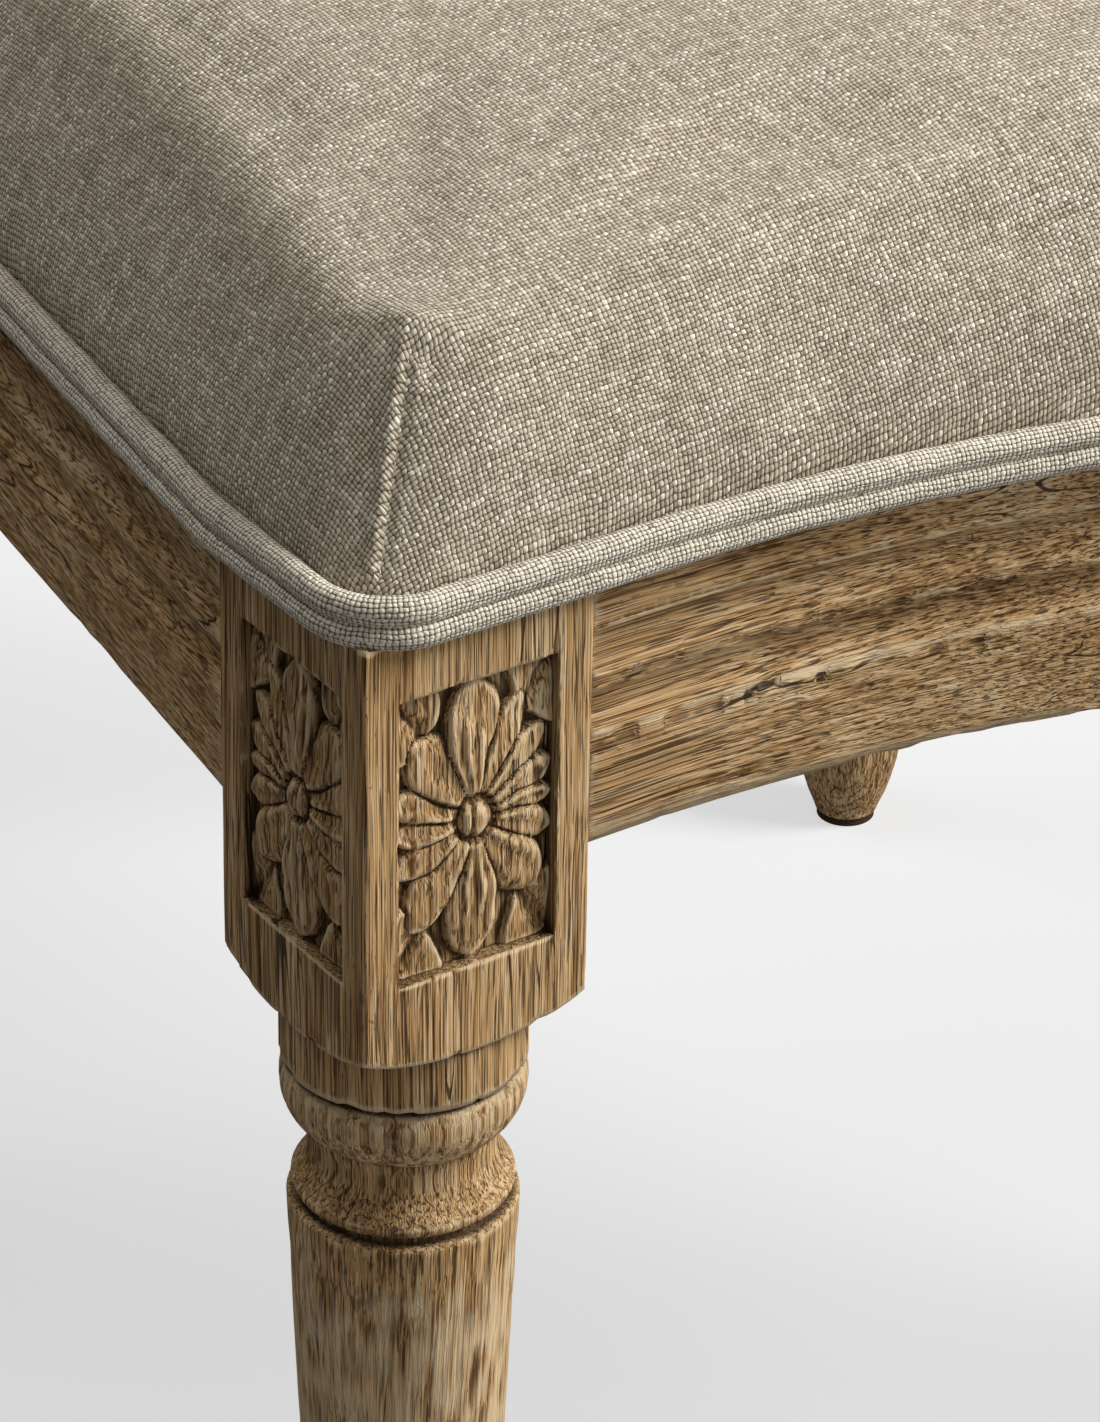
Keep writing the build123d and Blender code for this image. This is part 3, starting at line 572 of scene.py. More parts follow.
def flat_head(spots):
    """A leg or rail cut off just above the ledge, where the padding hides it."""
    spots[:, 2] = np.minimum(spots[:, 2], ledge() + head_gap)
    return spots


def deep_edge(spots):
    """The front rail with its show face drawn a little below its underside, and its hidden strip cut off."""
    y, z = spots[:, 1], spots[:, 2]
    shown = np.clip((front_y + edge_behind - y) / edge_behind_fade, 0, 1)
    spots[:, 2] = z - edge_drop * shown * np.clip((ledge() - edge_below - z) / edge_below_fade, 0, 1)
    return flat_head(spots)


def worn(name, material, along, fine, coarse=None, near=None, shape=None, rough=()):
    """Copy of an oak node with chipped edges and uneven faces; along is the grain's axis.

    Rough gives heights of crests below which the face is torn."""
    piece = finished(name + "_worn", refined(name, fine, coarse, near), material, "oak", name)
    mesh = piece.data
    mesh.set_sharp_from_angle(angle=oak_sharp)
    if shape:
        place_vertices(mesh, shape(coordinates(mesh)))
    spots = coordinates(mesh)
    normals = coordinates(mesh, "normal")
    full = crest_share * fine
    crest = np.clip(stands_out(mesh, crest_rounds) / full, 0, 1)
    drawn = np.array([1.0, 1.0, 1.0])
    drawn[along] = grain_stretch
    patch = field(spots, patch_cells, seed=3.7)
    chip = field(spots, chip_cells * drawn, seed=11.3)
    chip = np.clip((chip + 0.4 * patch - 0.20) / 0.18, 0, 1) * crest
    depth = chip_depth * chip + wave_depth * field(spots, wave_cells, seed=2.2)
    torn = field(spots, torn_cells * drawn, seed=7.9)
    torn = np.clip((torn + 0.3 * patch - 0.05) / 0.22, 0, 1)
    for height in rough:
        depth += torn_depth * torn * bell(spots[:, 2] - height + torn_drop, torn_spread)
    place_vertices(mesh, spots - normals * depth[:, None])
    mark_crests(mesh, crest_rounds, full)


# Rosettes

panel_gap = 0.00015
panel_columns, panel_lines = 100, 176
panel_least = 0.0001
skirt_height = 0.00005
flower_rounds = 12
flower_crest = 0.00045
outline_waver = 0.0010
carved_edge = 0.0010
leaf_reach = 0.0115
leaf_rise = 0.0020
leaf_vein = 0.0011
button_half_x, button_half_y = 0.0046, 0.0052
button_rise = 0.0045
button_least = 0.0020
cut_depth = 0.0008


def petal_relief(x, y, turn, reach, width, rise, flutes):
    """Height of one carved petal: broad near its rounded tip, fluted, one side laid over its neighbour."""
    c, s = cos(turn), sin(turn)
    along = np.clip((x * c + y * s) / reach, 0, 1)
    half = width / 2 * np.sqrt(np.clip(np.sin(pi * along ** 1.6), 1e-6, None))
    across = -x * s + y * c
    side = np.clip(across / half, -1, 1)
    edge = np.clip((half - np.abs(across)) / carved_edge, 0, 1)
    flute = 1 - 0.16 * np.cos(pi * flutes * side) ** 2 * np.sin(pi * along)
    lift = 0.62 + 0.38 * np.sin(pi * along ** 0.8)
    return rise * lift * flute * (1 - 0.34 * side ** 2 + 0.15 * side) * np.sqrt(edge)


def carved_flower(x, y):
    """Height of the carved flower over the ground of its panel, in metres."""
    s = sizes()
    half_w, half_h = s.panel_width / 2, s.panel_height / 2
    flat = np.column_stack([x, y, np.zeros(len(x))])
    worn_by = field(flat, 170, seed=3.1)
    fine = field(flat, np.array([900, 300, 1]), seed=8.7)
    x = x + outline_waver * field(flat, 130, seed=21.3)
    y = y + outline_waver * field(flat, 130, seed=34.9)
    layers = [0.0003 + 0.0003 * worn_by]
    for corner_x in (-1, 1):
        for corner_y in (-1, 1):
            i = half_w - corner_x * x
            j = half_h - corner_y * y
            inside = leaf_reach - np.hypot(i * 0.95, j * 0.66) + 0.0012 * worn_by
            blade = leaf_rise - leaf_vein * bell(i - 0.62 * j, 0.0020) - 0.05 * inside
            layers.append(blade * np.clip(inside / carved_edge, 0, 1))
    for degrees, reach, width, rise, flutes in (
        (91, 0.0332, 0.0145, 0.0041, 2), (269, 0.0332, 0.0135, 0.0039, 2),
        (123, 0.0265, 0.0130, 0.0034, 1), (66, 0.0285, 0.0095, 0.0033, 1), (46, 0.0240, 0.0090, 0.0032, 1),
        (151, 0.0208, 0.0105, 0.0034, 1), (178, 0.0192, 0.0085, 0.0035, 1), (24, 0.0205, 0.0085, 0.0034, 1),
        (2, 0.0192, 0.0085, 0.0035, 1), (204, 0.0205, 0.0095, 0.0034, 1), (236, 0.0275, 0.0125, 0.0035, 1),
        (-23, 0.0205, 0.0100, 0.0034, 1), (-54, 0.0270, 0.0125, 0.0035, 1),
    ):
        layers.append(petal_relief(x, y, radians(degrees), reach, width, rise, flutes))
    below, height = np.sort(layers, axis=0)[-2:]
    height = height - cut_depth * bell(height - below, 0.00022) * np.clip(below / 0.0012, 0, 1)
    oval = np.hypot(x / button_half_x, y / button_half_y) + 0.08 * worn_by
    split = 0.0010 * bell(x + 0.0008, 0.0006)
    button = button_rise * np.sqrt(np.clip(1.02 - oval ** 2, 0, 1)) - split
    around = height - cut_depth * bell(oval - 1.08, 0.10)
    height = np.where(oval < 1, np.maximum(button, button_least), around)
    rough = height + 0.00035 * worn_by + 0.00020 * fine
    return np.clip(rough, panel_least, s.panel_depth - panel_least)


def rosette_relief(bm, lay, mirrored):
    """One carved panel: a fine grid raised by the flower's height, with a border down to the ground."""
    s = sizes()
    grid = bmesh.ops.create_grid(bm, x_segments=panel_columns, y_segments=panel_lines, size=0.5)
    made = grid["verts"]
    x = np.array([v.co.x for v in made]) * (s.panel_width - 2 * panel_gap)
    y = np.array([v.co.y for v in made]) * (s.panel_height - 2 * panel_gap)
    for vertex, i, j, k in zip(made, x, y, carved_flower(-x if mirrored else x, y)):
        vertex.co = (i, j, k)
    own = set(made)
    skirt, edges = grown(bm, [e for e in bm.edges if e.is_boundary and e.verts[0] in own])
    for vertex in skirt:
        vertex.co.z = skirt_height
    bmesh.ops.edgeloop_fill(bm, edges=[e for e in edges if e.is_boundary])
    bmesh.ops.transform(bm, matrix=lay, verts=made + skirt)


def rosettes(material):
    """The four carved panels of the front blocks."""
    s = sizes()
    middle = ledge() - s.panel_drop - s.panel_height / 2
    ground = block_side / 2 - s.panel_depth
    bm = bmesh.new()
    upright = Matrix.Rotation(pi / 2, 4, "X")
    for side in (-1, 1):
        face = Matrix.Translation((side * leg_axis_x, leg_axis_y - ground, middle))
        rosette_relief(bm, face @ upright, side > 0)
        flank = Matrix.Translation((side * (leg_axis_x + ground), leg_axis_y, middle))
        rosette_relief(bm, flank @ Matrix.Rotation(side * pi / 2, 4, "Z") @ upright, side < 0)
    bmesh.ops.recalc_face_normals(bm, faces=bm.faces)
    piece = finished("carved_rosettes", bm, material, "oak", "rosettes")
    # Crest marks let the oak paint highlights on the petals and shade between them.
    mark_crests(piece.data, flower_rounds, flower_crest)


# Seat cover

cover_inset = 0.0030
cover_low = 0.003
top_inset = 0.034
cover_rows = 11
cover_columns = 60
cover_lines = 52
corner_pull = 0.0030
corner_bulge = 0.022
corner_spread = 0.045
peak_height = 0.0042
peak_spread = 0.011
peak_inset = 0.030
seam_lip = 0.0010
seam_width = 0.0018
stitch_pitch = 0.0042
fold_length = 0.016
fold_width = 0.0020
fold_depth = 0.0013
seam_fade = 0.006
seam_foot = 0.009
least_turn = 0.0015
middle_softness = 1.9
row_ease = 0.85
end_crowding = 0.48
corner_crease = 0.4
rolled_depth = 0.0125
rolled_bend = 0.038
cut_margin = 0.03
pin_share = 0.8
swell_pressure = 4.0
swell_most = 0.003
swell_still = 0.05
swell_fade = 0.10


def seat_dome(x, y):
    """Height of the domed top of the seat above the ledge."""
    s = sizes()
    middle = (front_y + rear_y) / 2
    return s.seat_crown - (x ** 2 + (y - middle) ** 2) / (2 * s.crown_radius)


def soft_lower(a, b, width):
    """The lower of two heights, with a soft turn of some width between them."""
    share = np.clip(0.5 + 0.5 * (b - a) / width, 0, 1)
    return b + (a - b) * share - width * share * (1 - share)


def seat_plan(a, b, inset):
    """Plan place of a point of the cover, a and b running from -1 to 1 across and back, at some inset."""
    y = front_y + inset + (b + 1) / 2 * (rear_y - front_y - 2 * inset)
    for _ in range(3):
        x = a * side_line(y, inset)
        front = front_line(x, inset)
        y = front + (b + 1) / 2 * (rear_y - inset - front)
    up = np.clip((inset - cover_inset) / (top_inset - cover_inset), 0, 1)
    radius = np.clip(sizes().welt_corner * (1 - up) + 4 * corner_bulge * up * (1 - up), least_turn, None)
    return corner_turn(x, y, half_width - inset, front_y + inset, radius, np.abs(a) + b < 0)


def seat_surface(a, b, inset):
    """Place of a point of the cover above the tack strip."""
    s = sizes()
    x, y = seat_plan(a, b, inset)
    corner = np.hypot(half_width - np.abs(x), y - front_y)
    near = bell(corner, corner_spread)
    lean = (inset - cover_inset - corner_pull * near) / tan(s.seat_lean)
    peak = np.hypot(half_width - peak_inset - np.abs(x), y - front_y - peak_inset)
    dome = seat_dome(x, y) + peak_height * bell(peak, peak_spread)
    blend = s.seat_blend * (middle_softness - (middle_softness - 1) * near)
    height = soft_lower(dome, s.tack_height + lean, blend)
    return np.column_stack([x, y, ledge() + height])


def crowded(values):
    """Values from -1 to 1 set closer together near both ends."""
    return values + end_crowding * np.sin(pi * values) / pi


def seat_cage():
    """Coarse cover: a domed grid whose border is drawn out and down, row by row, to behind the welt."""
    bm = bmesh.new()
    bmesh.ops.create_grid(bm, x_segments=cover_columns, y_segments=cover_lines, size=1)
    spots = np.array([v.co[:2] for v in bm.verts])
    a, b = crowded(spots[:, 0]), crowded(spots[:, 1])
    for vertex, spot in zip(bm.verts, seat_surface(a, b, np.full(len(a), top_inset))):
        vertex.co = spot
    keys = {v: (i, j) for v, i, j in zip(bm.verts, a, b)}
    border = [e for e in bm.edges if e.is_boundary]
    insets = top_inset + (cover_inset - top_inset) * np.linspace(0, 1, cover_rows + 1)[1:] ** row_ease
    for row, inset in enumerate([*insets, cover_inset]):
        fresh, edges = grown(bm, border)
        old = {v: next(e.other_vert(v) for e in v.link_edges if e.other_vert(v) in keys) for v in fresh}
        for vertex in fresh:
            keys[vertex] = keys[old[vertex]]
        a = np.array([keys[v][0] for v in fresh])
        b = np.array([keys[v][1] for v in fresh])
        spots = seat_surface(a, b, np.full(len(fresh), inset))
        if row == cover_rows:
            spots[:, 2] = ledge() + cover_low
        for vertex, spot in zip(fresh, spots):
            vertex.co = spot
        border = [e for e in edges if e.is_boundary]
    panel = bm.faces.layers.int.new("panel")
    crease = bm.edges.layers.float.new("crease_edge")
    for face in bm.faces:
        middle_a = sum(keys[v][0] for v in face.verts) / len(face.verts)
        middle_b = sum(keys[v][1] for v in face.verts) / len(face.verts)
        if abs(middle_a) > abs(middle_b):
            face[panel] = 1 if middle_a > 0 else 3
        else:
            face[panel] = 2 if middle_b > 0 else 0
    for edge in bm.edges:
        first, last = (keys[v] for v in edge.verts)
        if first == last and abs(first[0]) == abs(first[1]) == 1:
            edge[crease] = corner_crease
    bm.normal_update()
    return bm


def inflate(piece, pinned, pressure, cap, frames=20):
    """Cloth simulation of a padded cover held at its edge, with the move of every point capped."""
    mesh = piece.data
    before = coordinates(mesh)
    hold = piece.vertex_groups.new(name="hold")
    hold.add([int(n) for n in pinned], 1.0, "REPLACE")
    cloth = piece.modifiers.new("cloth", "CLOTH")
    for name, value in (
        ("vertex_group_mass", "hold"), ("quality", 6), ("mass", 0.25), ("tension_stiffness", 60),
        ("compression_stiffness", 60), ("shear_stiffness", 30), ("bending_stiffness", 8),
        ("use_pressure", True), ("uniform_pressure_force", pressure),
    ):
        setattr(cloth.settings, name, value)
    cloth.settings.effector_weights.gravity = 0
    cloth.collision_settings.use_collision = False
    scene = bpy.context.scene
    for number in range(1, frames + 1):
        scene.frame_set(number)
    posed = piece.evaluated_get(bpy.context.evaluated_depsgraph_get())
    after = coordinates(posed.to_mesh())
    posed.to_mesh_clear()
    piece.modifiers.remove(cloth)
    piece.vertex_groups.remove(hold)
    scene.frame_set(1)
    move = after - before
    far = np.linalg.norm(move, axis=1, keepdims=True)
    place_vertices(mesh, before + move * np.minimum(1, cap / np.maximum(far, 1e-9)))


def seat_cloth_map(mesh):
    """Weave of the cover: level on the top, unrolled down each side, and cut at the corner seams."""
    x, y, z = coordinates(mesh).T
    depth = np.clip(seat_dome(x, y) - (z - ledge()), 0, None)
    root = sqrt(rolled_bend)
    straight = rolled_depth ** 1.5 / root / 1.5 + (depth - rolled_depth) * sqrt(rolled_depth / rolled_bend)
    drop = np.where(depth < rolled_depth, depth ** 1.5 / root / 1.5, straight)
    panel = numbers(mesh.attributes["panel"].data, "value")
    panel = np.repeat(panel, numbers(mesh.polygons, "loop_total"))
    corner = numbers(mesh.loops, "vertex_index")
    shift_u = np.select([panel == 1, panel == 3], [drop[corner], -drop[corner]], 0)
    shift_v = np.select([panel == 0, panel == 2], [-drop[corner], drop[corner]], 0)
    layer = mesh.uv_layers.new(name="cloth")
    layer.data.foreach_set("uv", np.column_stack([x[corner] + shift_u, y[corner] + shift_v]).ravel())


def raise_seams(mesh):
    """Lift the side panel's folded edge along each front corner seam, with a dimple at every stitch."""
    spots = coordinates(mesh)
    normals = coordinates(mesh, "normal")
    x, y, z = spots.T
    behind = ((y - front_y) - (half_width - np.abs(x))) / sqrt(2)
    inset = ((y - front_y) + (half_width - np.abs(x))) / 2
    along = np.clip((top_inset - inset) / seam_fade, 0, 1) * (z > ledge() + seam_foot)
    lip = bell(behind - seam_width, 0.75 * seam_width)
    groove = bell(behind + 0.2 * seam_width, 0.45 * seam_width)
    stitch = np.cos(2 * pi * z / stitch_pitch) * bell(behind + 1.3 * seam_width, seam_width)
    lift = along * (seam_lip * lip - 0.6 * seam_lip * groove + 0.28 * seam_lip * stitch)
    aside, back = half_width - np.abs(x), y - front_y
    gather = np.clip(1 - (aside - peak_inset) / fold_length, 0, 1) * (aside > peak_inset)
    lift -= fold_depth * gather * bell(back - peak_inset + 2 * fold_width, fold_width)
    place_vertices(mesh, spots + normals * lift[:, None])


def notch_stiles(mesh):
    """Cut the rear corners of the cover round the stiles, tuck the cut edges down and close the underside."""
    bm = bmesh.new()
    bm.from_mesh(mesh)
    for side in (-1, 1):
        for place, facing in (((side * stile_inside, 0, 0), (side, 0, 0)), ((0, stile_front, 0), (0, 1, 0))):
            near = [f for f in bm.faces if side * f.calc_center_median().x > stile_inside - cut_margin
                    and f.calc_center_median().y > stile_front - cut_margin]
            parts = dict.fromkeys(g for f in near for g in (*f.verts, *f.edges))
            bmesh.ops.bisect_plane(bm, geom=[*near, *parts], plane_co=place, plane_no=facing, dist=1e-6)
    gone = [f for f in bm.faces if abs(f.calc_center_median().x) > stile_inside
            and f.calc_center_median().y > stile_front]
    bmesh.ops.delete(bm, geom=gone, context="FACES")
    floor = ledge() + cover_low
    raw = [e for e in bm.edges if e.is_boundary and max(v.co.z for v in e.verts) > floor + 1e-5]
    for vertex in grown(bm, raw)[0]:
        vertex.co.z = floor
    bmesh.ops.remove_doubles(bm, verts=[v for v in bm.verts if v.co.z < floor + 1e-5], dist=1e-6)
    bmesh.ops.holes_fill(bm, edges=[e for e in bm.edges if e.is_boundary])
    bmesh.ops.recalc_face_normals(bm, faces=bm.faces)
    bm.to_mesh(mesh)
    bm.free()
    mesh.shade_smooth()


def seat_cover(material):
    """Padded seat cover, swelled by simulation, with raised seams at the front corners."""
    bm = seat_cage()
    bm.verts.index_update()
    low = ledge() + sizes().tack_height * pin_share
    pinned = [v.index for v in bm.verts if v.co.z < low]
    piece = finished("seat_cover_linen", bm, material, "linen", "seat_cover", "seat_foam")
    x, y, _ = coordinates(piece.data).T
    corner = np.hypot(half_width - np.abs(x), y - front_y)
    most = swell_most * np.clip((corner - swell_still) / swell_fade, 0, 1)
    inflate(piece, pinned, swell_pressure, most[:, None])
    mesh = applied(piece, "SUBSURF", levels=2, render_levels=2)
    raise_seams(mesh)
    seat_cloth_map(mesh)
    notch_stiles(mesh)


# Welts

cord_points = 18
cord_shift = 0.0373
cord_places = ((0.0017, 0.0019), (0.0011, 0.0069))
rear_welt_steps = 160
stile_gap = 0.001


def swept(bm, path, ups, radius, closed, shift):
    """A round cord drawn along a path, a little uneven, with its weave running along it.

    Ups gives the upright direction at every path point."""
    layer = bm.loops.layers.uv.get("cloth") or bm.loops.layers.uv.new("cloth")
    total = len(path)
    run = [shift]
    for first, last in zip(path, path[1:] + path[:1]):
        run.append(run[-1] + (last - first).length)
    rings = []
    for n, spot in enumerate(path):
        before = path[n - 1] if n or closed else spot
        after = path[(n + 1) % total] if closed or n + 1 < total else spot
        out = (after - before).cross(ups[n]).normalized()
        swell = radius * (1 + 0.05 * noise.noise(spot * 90) + 0.03 * noise.noise(spot * 400))
        turns = [2 * pi * k / cord_points for k in range(cord_points)]
        rings.append([bm.verts.new(spot + (out * cos(t) + ups[n] * sin(t)) * swell) for t in turns])
    step = 2 * pi * radius / cord_points
    for n in range(total if closed else total - 1):
        ahead = rings[(n + 1) % total]
        for k in range(cord_points):
            follow = (k + 1) % cord_points
            face = bm.faces.new((rings[n][k], rings[n][follow], ahead[follow], ahead[k]))
            places = ((n, k), (n, k + 1), (n + 1, k + 1), (n + 1, k))
            for loop, (i, j) in zip(face.loops, places):
                loop[layer].uv = (run[i], shift + j * step)
    if not closed:
        bm.faces.new(rings[0])
        bm.faces.new(list(reversed(rings[-1])))


def welt_path(inset, corner, pitch=0.0020):
    """Plan line of the seat welt from the left stile round the front to the right stile."""
    x_edge = half_width - inset
    y_edge = front_y + inset
    front_x = np.linspace(0, x_edge, int(x_edge / pitch))
    front = np.column_stack([front_x, front_line(front_x, inset)])
    back = np.arange(y_edge, stile_front, pitch)
    side = np.column_stack([side_line(back, inset), back])
    half = np.vstack([front, side])
    on_front = np.arange(len(half)) < len(front)
    x, y = corner_turn(half[:, 0], half[:, 1], x_edge, y_edge, corner, on_front)
    kept = [Vector((0, y[0], 0))]
    for spot in zip(x[1:], y[1:]):
        spot = Vector((*spot, 0))
        if (spot - kept[-1]).length > pitch / 3:
            kept.append(spot)
    return [Vector((-p.x, p.y, 0)) for p in reversed(kept[1:])] + kept


def seat_welts(material):
    """Double welt round the seat, hanging just over the wood, and the short one between the stiles."""
    s = sizes()
    upright = Vector((0, 0, 1))
    bm = bmesh.new()
    rear = bmesh.new()
    reach = stile_inside - stile_gap
    steps = [reach * (1 - 2 * n / rear_welt_steps) for n in range(rear_welt_steps + 1)]
    for row, (proud, lift) in enumerate(cord_places):
        rise = Vector((0, 0, ledge() + lift))
        path = [p + rise for p in welt_path(-proud, s.welt_corner + proud)]
        straight = [Vector((x, rear_y, 0)) + rise + Vector((0, proud, 0)) for x in steps]
        for welt, line in ((bm, path), (rear, straight)):
            swept(welt, line, [upright] * len(line), s.cord_radius, False, row * cord_shift)
    for name, welt in (("seat_welt", bm), ("seat_rear_welt", rear)):
        bmesh.ops.recalc_face_normals(welt, faces=welt.faces)
        finished(name + "_linen", welt, material, "linen", name)


# Back

back_depth = 0.4
back_base = 0.410
oval_core = 0.012
dome_width = 2.6
pad_edge_rings = 7
pad_rings = 15
pad_edge_ease = 1.6
back_cord_insets = (0.0326, 0.0268)
back_cord_steps = 400
sheet_rings = 12
sheet_inset = 0.0245
sheet_out = 0.0085
sheet_thick = 0.0008


def back_axes():
    """Origin, upward direction and forward normal of the back's middle plane."""
    rake = sizes().back_rake
    origin = Vector((0, leg_axis_y + back_depth, back_base))
    return origin, Vector((0, sin(rake), cos(rake))), Vector((0, -cos(rake), sin(rake)))


def oval_point(turn, inset):
    """Place on the four-arc oval at a turn from the right-hand side, as across and up from its middle."""
    s = sizes()
    quarter = turn % (2 * pi)
    side = cos(quarter)
    if abs(side) >= sqrt(0.5) - 1e-12:
        sign = 1 if side > 0 else -1
        return (s.side_arc - inset) * side - sign * s.oval_shift, (s.side_arc - inset) * sin(quarter)
    sign = 1 if sin(quarter) > 0 else -1
    return (s.end_arc - inset) * side, (s.end_arc - inset) * sin(quarter) + sign * s.oval_shift


def on_back(across, up, out):
    """Point of the back, out from its middle plane."""
    origin, rise, forward = back_axes()
    return origin + Vector((across, 0, 0)) + rise * (sizes().oval_height + up) + forward * out


def oval_rings(bm, insets, outs, count=128):
    """Disc of rings of the oval from the outside in, closed by a fan; outs gives each point's height."""
    rings = []
    for inset in insets:
        places = [oval_point(2 * pi * n / count, inset) for n in range(count)]
        rings.append([bm.verts.new(on_back(i, j, outs(i, j, inset))) for i, j in places])
    for outer, inner in zip(rings, rings[1:]):
        for n in range(count):
            follow = (n + 1) % count
            bm.faces.new((outer[n], outer[follow], inner[follow], inner[n]))
    tip = bm.verts.new(on_back(0, 0, outs(0, 0, insets[-1])))
    for n in range(count):
        bm.faces.new((rings[-1][n], rings[-1][(n + 1) % count], tip))
    return rings


def pad_height(across, up, inset):
    """Height of the domed back padding over the middle plane at a point of the oval."""
    s = sizes()
    reach = across ** 2 + up ** 2
    dome = s.pad_crown - reach / dome_width
    edge = min((inset - s.pad_inset) / s.pad_round, 1)
    return s.pad_floor + dome * sqrt(max(1 - (1 - edge) ** 2, 0))


def back_weave(mesh):
    """Weave that runs straight up the back."""
    x, _, z = coordinates(mesh).T
    lay_cloth(mesh, x, z / cos(sizes().back_rake))


def back_cover(material):
    """Padded front of the back, swelled by simulation."""
    s = sizes()
    bm = bmesh.new()
    near = s.pad_inset + s.pad_round * np.linspace(0, 1, pad_edge_rings) ** pad_edge_ease
    far = np.linspace(near[-1], s.end_arc - oval_core, pad_rings)[1:]
    rings = oval_rings(bm, [*near, *far], pad_height)
    bmesh.ops.edgeloop_fill(bm, edges=[e for e in bm.edges if e.is_boundary])
    bmesh.ops.recalc_face_normals(bm, faces=bm.faces)
    bm.verts.index_update()
    pinned = [v.index for ring in rings[:3] for v in ring]
    piece = finished("back_cover_linen", bm, material, "linen", "back_cover", "back_foam")
    inflate(piece, pinned, swell_pressure, swell_most)
    mesh = applied(piece, "SUBSURF", levels=1, render_levels=1)
    back_weave(mesh)


def back_welts(material):
    """Double welts round the front and the rear of the back panel."""
    s = sizes()
    turns = [2 * pi * n / back_cord_steps for n in range(back_cord_steps)]
    forward = back_axes()[2]
    for name, side in (("back_front_welt", 1), ("back_rear_welt", -1)):
        bm = bmesh.new()
        for row, inset in enumerate(back_cord_insets):
            out = side * (s.pad_floor + s.cord_radius)
            path = [on_back(*oval_point(t, inset), out) for t in turns]
            swept(bm, path, [forward] * len(path), s.cord_radius, True, row * cord_shift)
        bmesh.ops.recalc_face_normals(bm, faces=bm.faces)
        finished(name + "_linen", bm, material, "linen", name)


def oval_sheet(name, node, material, slot, out):
    """Flat oval of cloth stretched over the back's opening, out from its middle plane."""
    s = sizes()
    bm = bmesh.new()
    oval_rings(bm, np.linspace(sheet_inset, s.end_arc - oval_core, sheet_rings), lambda i, j, k: out)
    bmesh.ops.recalc_face_normals(bm, faces=bm.faces)
    bmesh.ops.solidify(bm, geom=bm.faces, thickness=sheet_thick)
    piece = finished(name, bm, material, slot, node)
    back_weave(piece.data)


# Upholstery under the seat

jute_thread = 0.0016
hessian_thread = 0.0021
cambric_thread = 0.0006
cloth_edge = 0.016
cloth_sharp = radians(40)
ripple_cells = np.array([22, 22, 0])
hessian_cut = 0.060
hessian_drawn_in = 0.005
dust_sag = 0.003


def draped(node, material, slot, sag=0.0, corner_cut=0.0, drawn_in=0.0):
    """Copy of a flat cloth node, refined, given a weave map and a little sag between its edges.

    It can be drawn in all round, and its front corners pulled behind a slanting line that cuts off
    some of both edges."""
    piece = finished(node + "_cloth", refined(node, cloth_edge), material, slot, node)
    mesh = piece.data
    spots = coordinates(mesh)
    x, y, z = spots.T
    middle = (y.max() + y.min()) / 2
    x = x * (1 - drawn_in / abs(x).max())
    y = middle + (y - middle) * (1 - drawn_in / (y.max() - middle))
    bowl = np.clip(1 - (x / abs(x).max()) ** 2, 0, 1)
    bowl = bowl * np.clip(1 - ((y - middle) / (y.max() - middle)) ** 2, 0, 1)
    ripple = field(spots, ripple_cells, seed=4.4)
    pull = np.clip(corner_cut - (half_width - np.abs(x)) - (y - front_y), 0, None) / 2
    sunk = z - sag * bowl * (1 + 0.35 * ripple)
    place_vertices(mesh, np.column_stack([x - np.sign(x) * pull, y + pull, sunk]))
    lay_cloth(mesh, x, y)
    mesh.set_sharp_from_angle(angle=cloth_sharp)
    return piece, x, y


def cloth_sheet(node, material, slot, rests_on, **drape):
    """A draped node."""
    piece, x, y = draped(node, material, slot, **drape)


# Stage

world_fill = 0.11
floor_size = 20
floor_grey = 0.30
glow_near, glow_far = 0.58, 1.0
glow_start, glow_end = 0.4, 2.6
camera_yaw = radians(34.593)
camera_pitch = radians(30.828)
camera_roll = radians(1.032)
camera_offset = Vector((-0.5655, -0.8844, 0.6141))
focal_pixels = 6208.5
picture_height = 1422
sensor = 36


def studio_world(scene):
    """A weak white fill that the camera sees as plain white."""
    world = bpy.data.worlds.new("studio")
    world.use_nodes = True
    tree = world.node_tree
    tree.nodes.clear()
    ray = add(tree, "LightPath", out="Is Camera Ray")
    fill = add(tree, "Background", {"Color": (1, 1, 1), "Strength": world_fill})
    white = add(tree, "Background", {"Color": (1, 1, 1), "Strength": 1.0})
    mix = add(tree, "MixShader", {0: ray, 1: fill, 2: white})
    add(tree, "OutputWorld", {"Surface": mix})
    scene.world = world


def studio_floor(scene):
    """A matt floor that the camera sees lightened, up to white far from the chair."""
    bm = bmesh.new()
    bmesh.ops.create_grid(bm, x_segments=1, y_segments=1, size=floor_size)
    mesh = bpy.data.meshes.new("studio_floor")
    bm.to_mesh(mesh)
    bm.free()
    floor = bpy.data.objects.new("studio_floor", mesh)
    scene.collection.objects.link(floor)
    paper, tree = blank_material("matt white floor")
    ray = add(tree, "LightPath", out="Is Camera Ray")
    matt = add(tree, "BsdfDiffuse", {"Color": (floor_grey, floor_grey, floor_grey)})
    away = vectors(tree, "LENGTH", add(tree, "TexCoord", out="Object"), out="Value")
    bright = add(tree, "MapRange", {
        "Value": away, "From Min": glow_start, "From Max": glow_end, "To Min": glow_near, "To Max": glow_far
    })
    glow = add(tree, "Emission", {"Color": (1, 1, 1), "Strength": bright})
    both = add(tree, "AddShader", {0: matt, 1: glow})
    seen = add(tree, "MixShader", {0: ray, 1: matt, 2: both})
    add(tree, "OutputMaterial", {"Surface": seen})
    mesh.materials.append(paper)


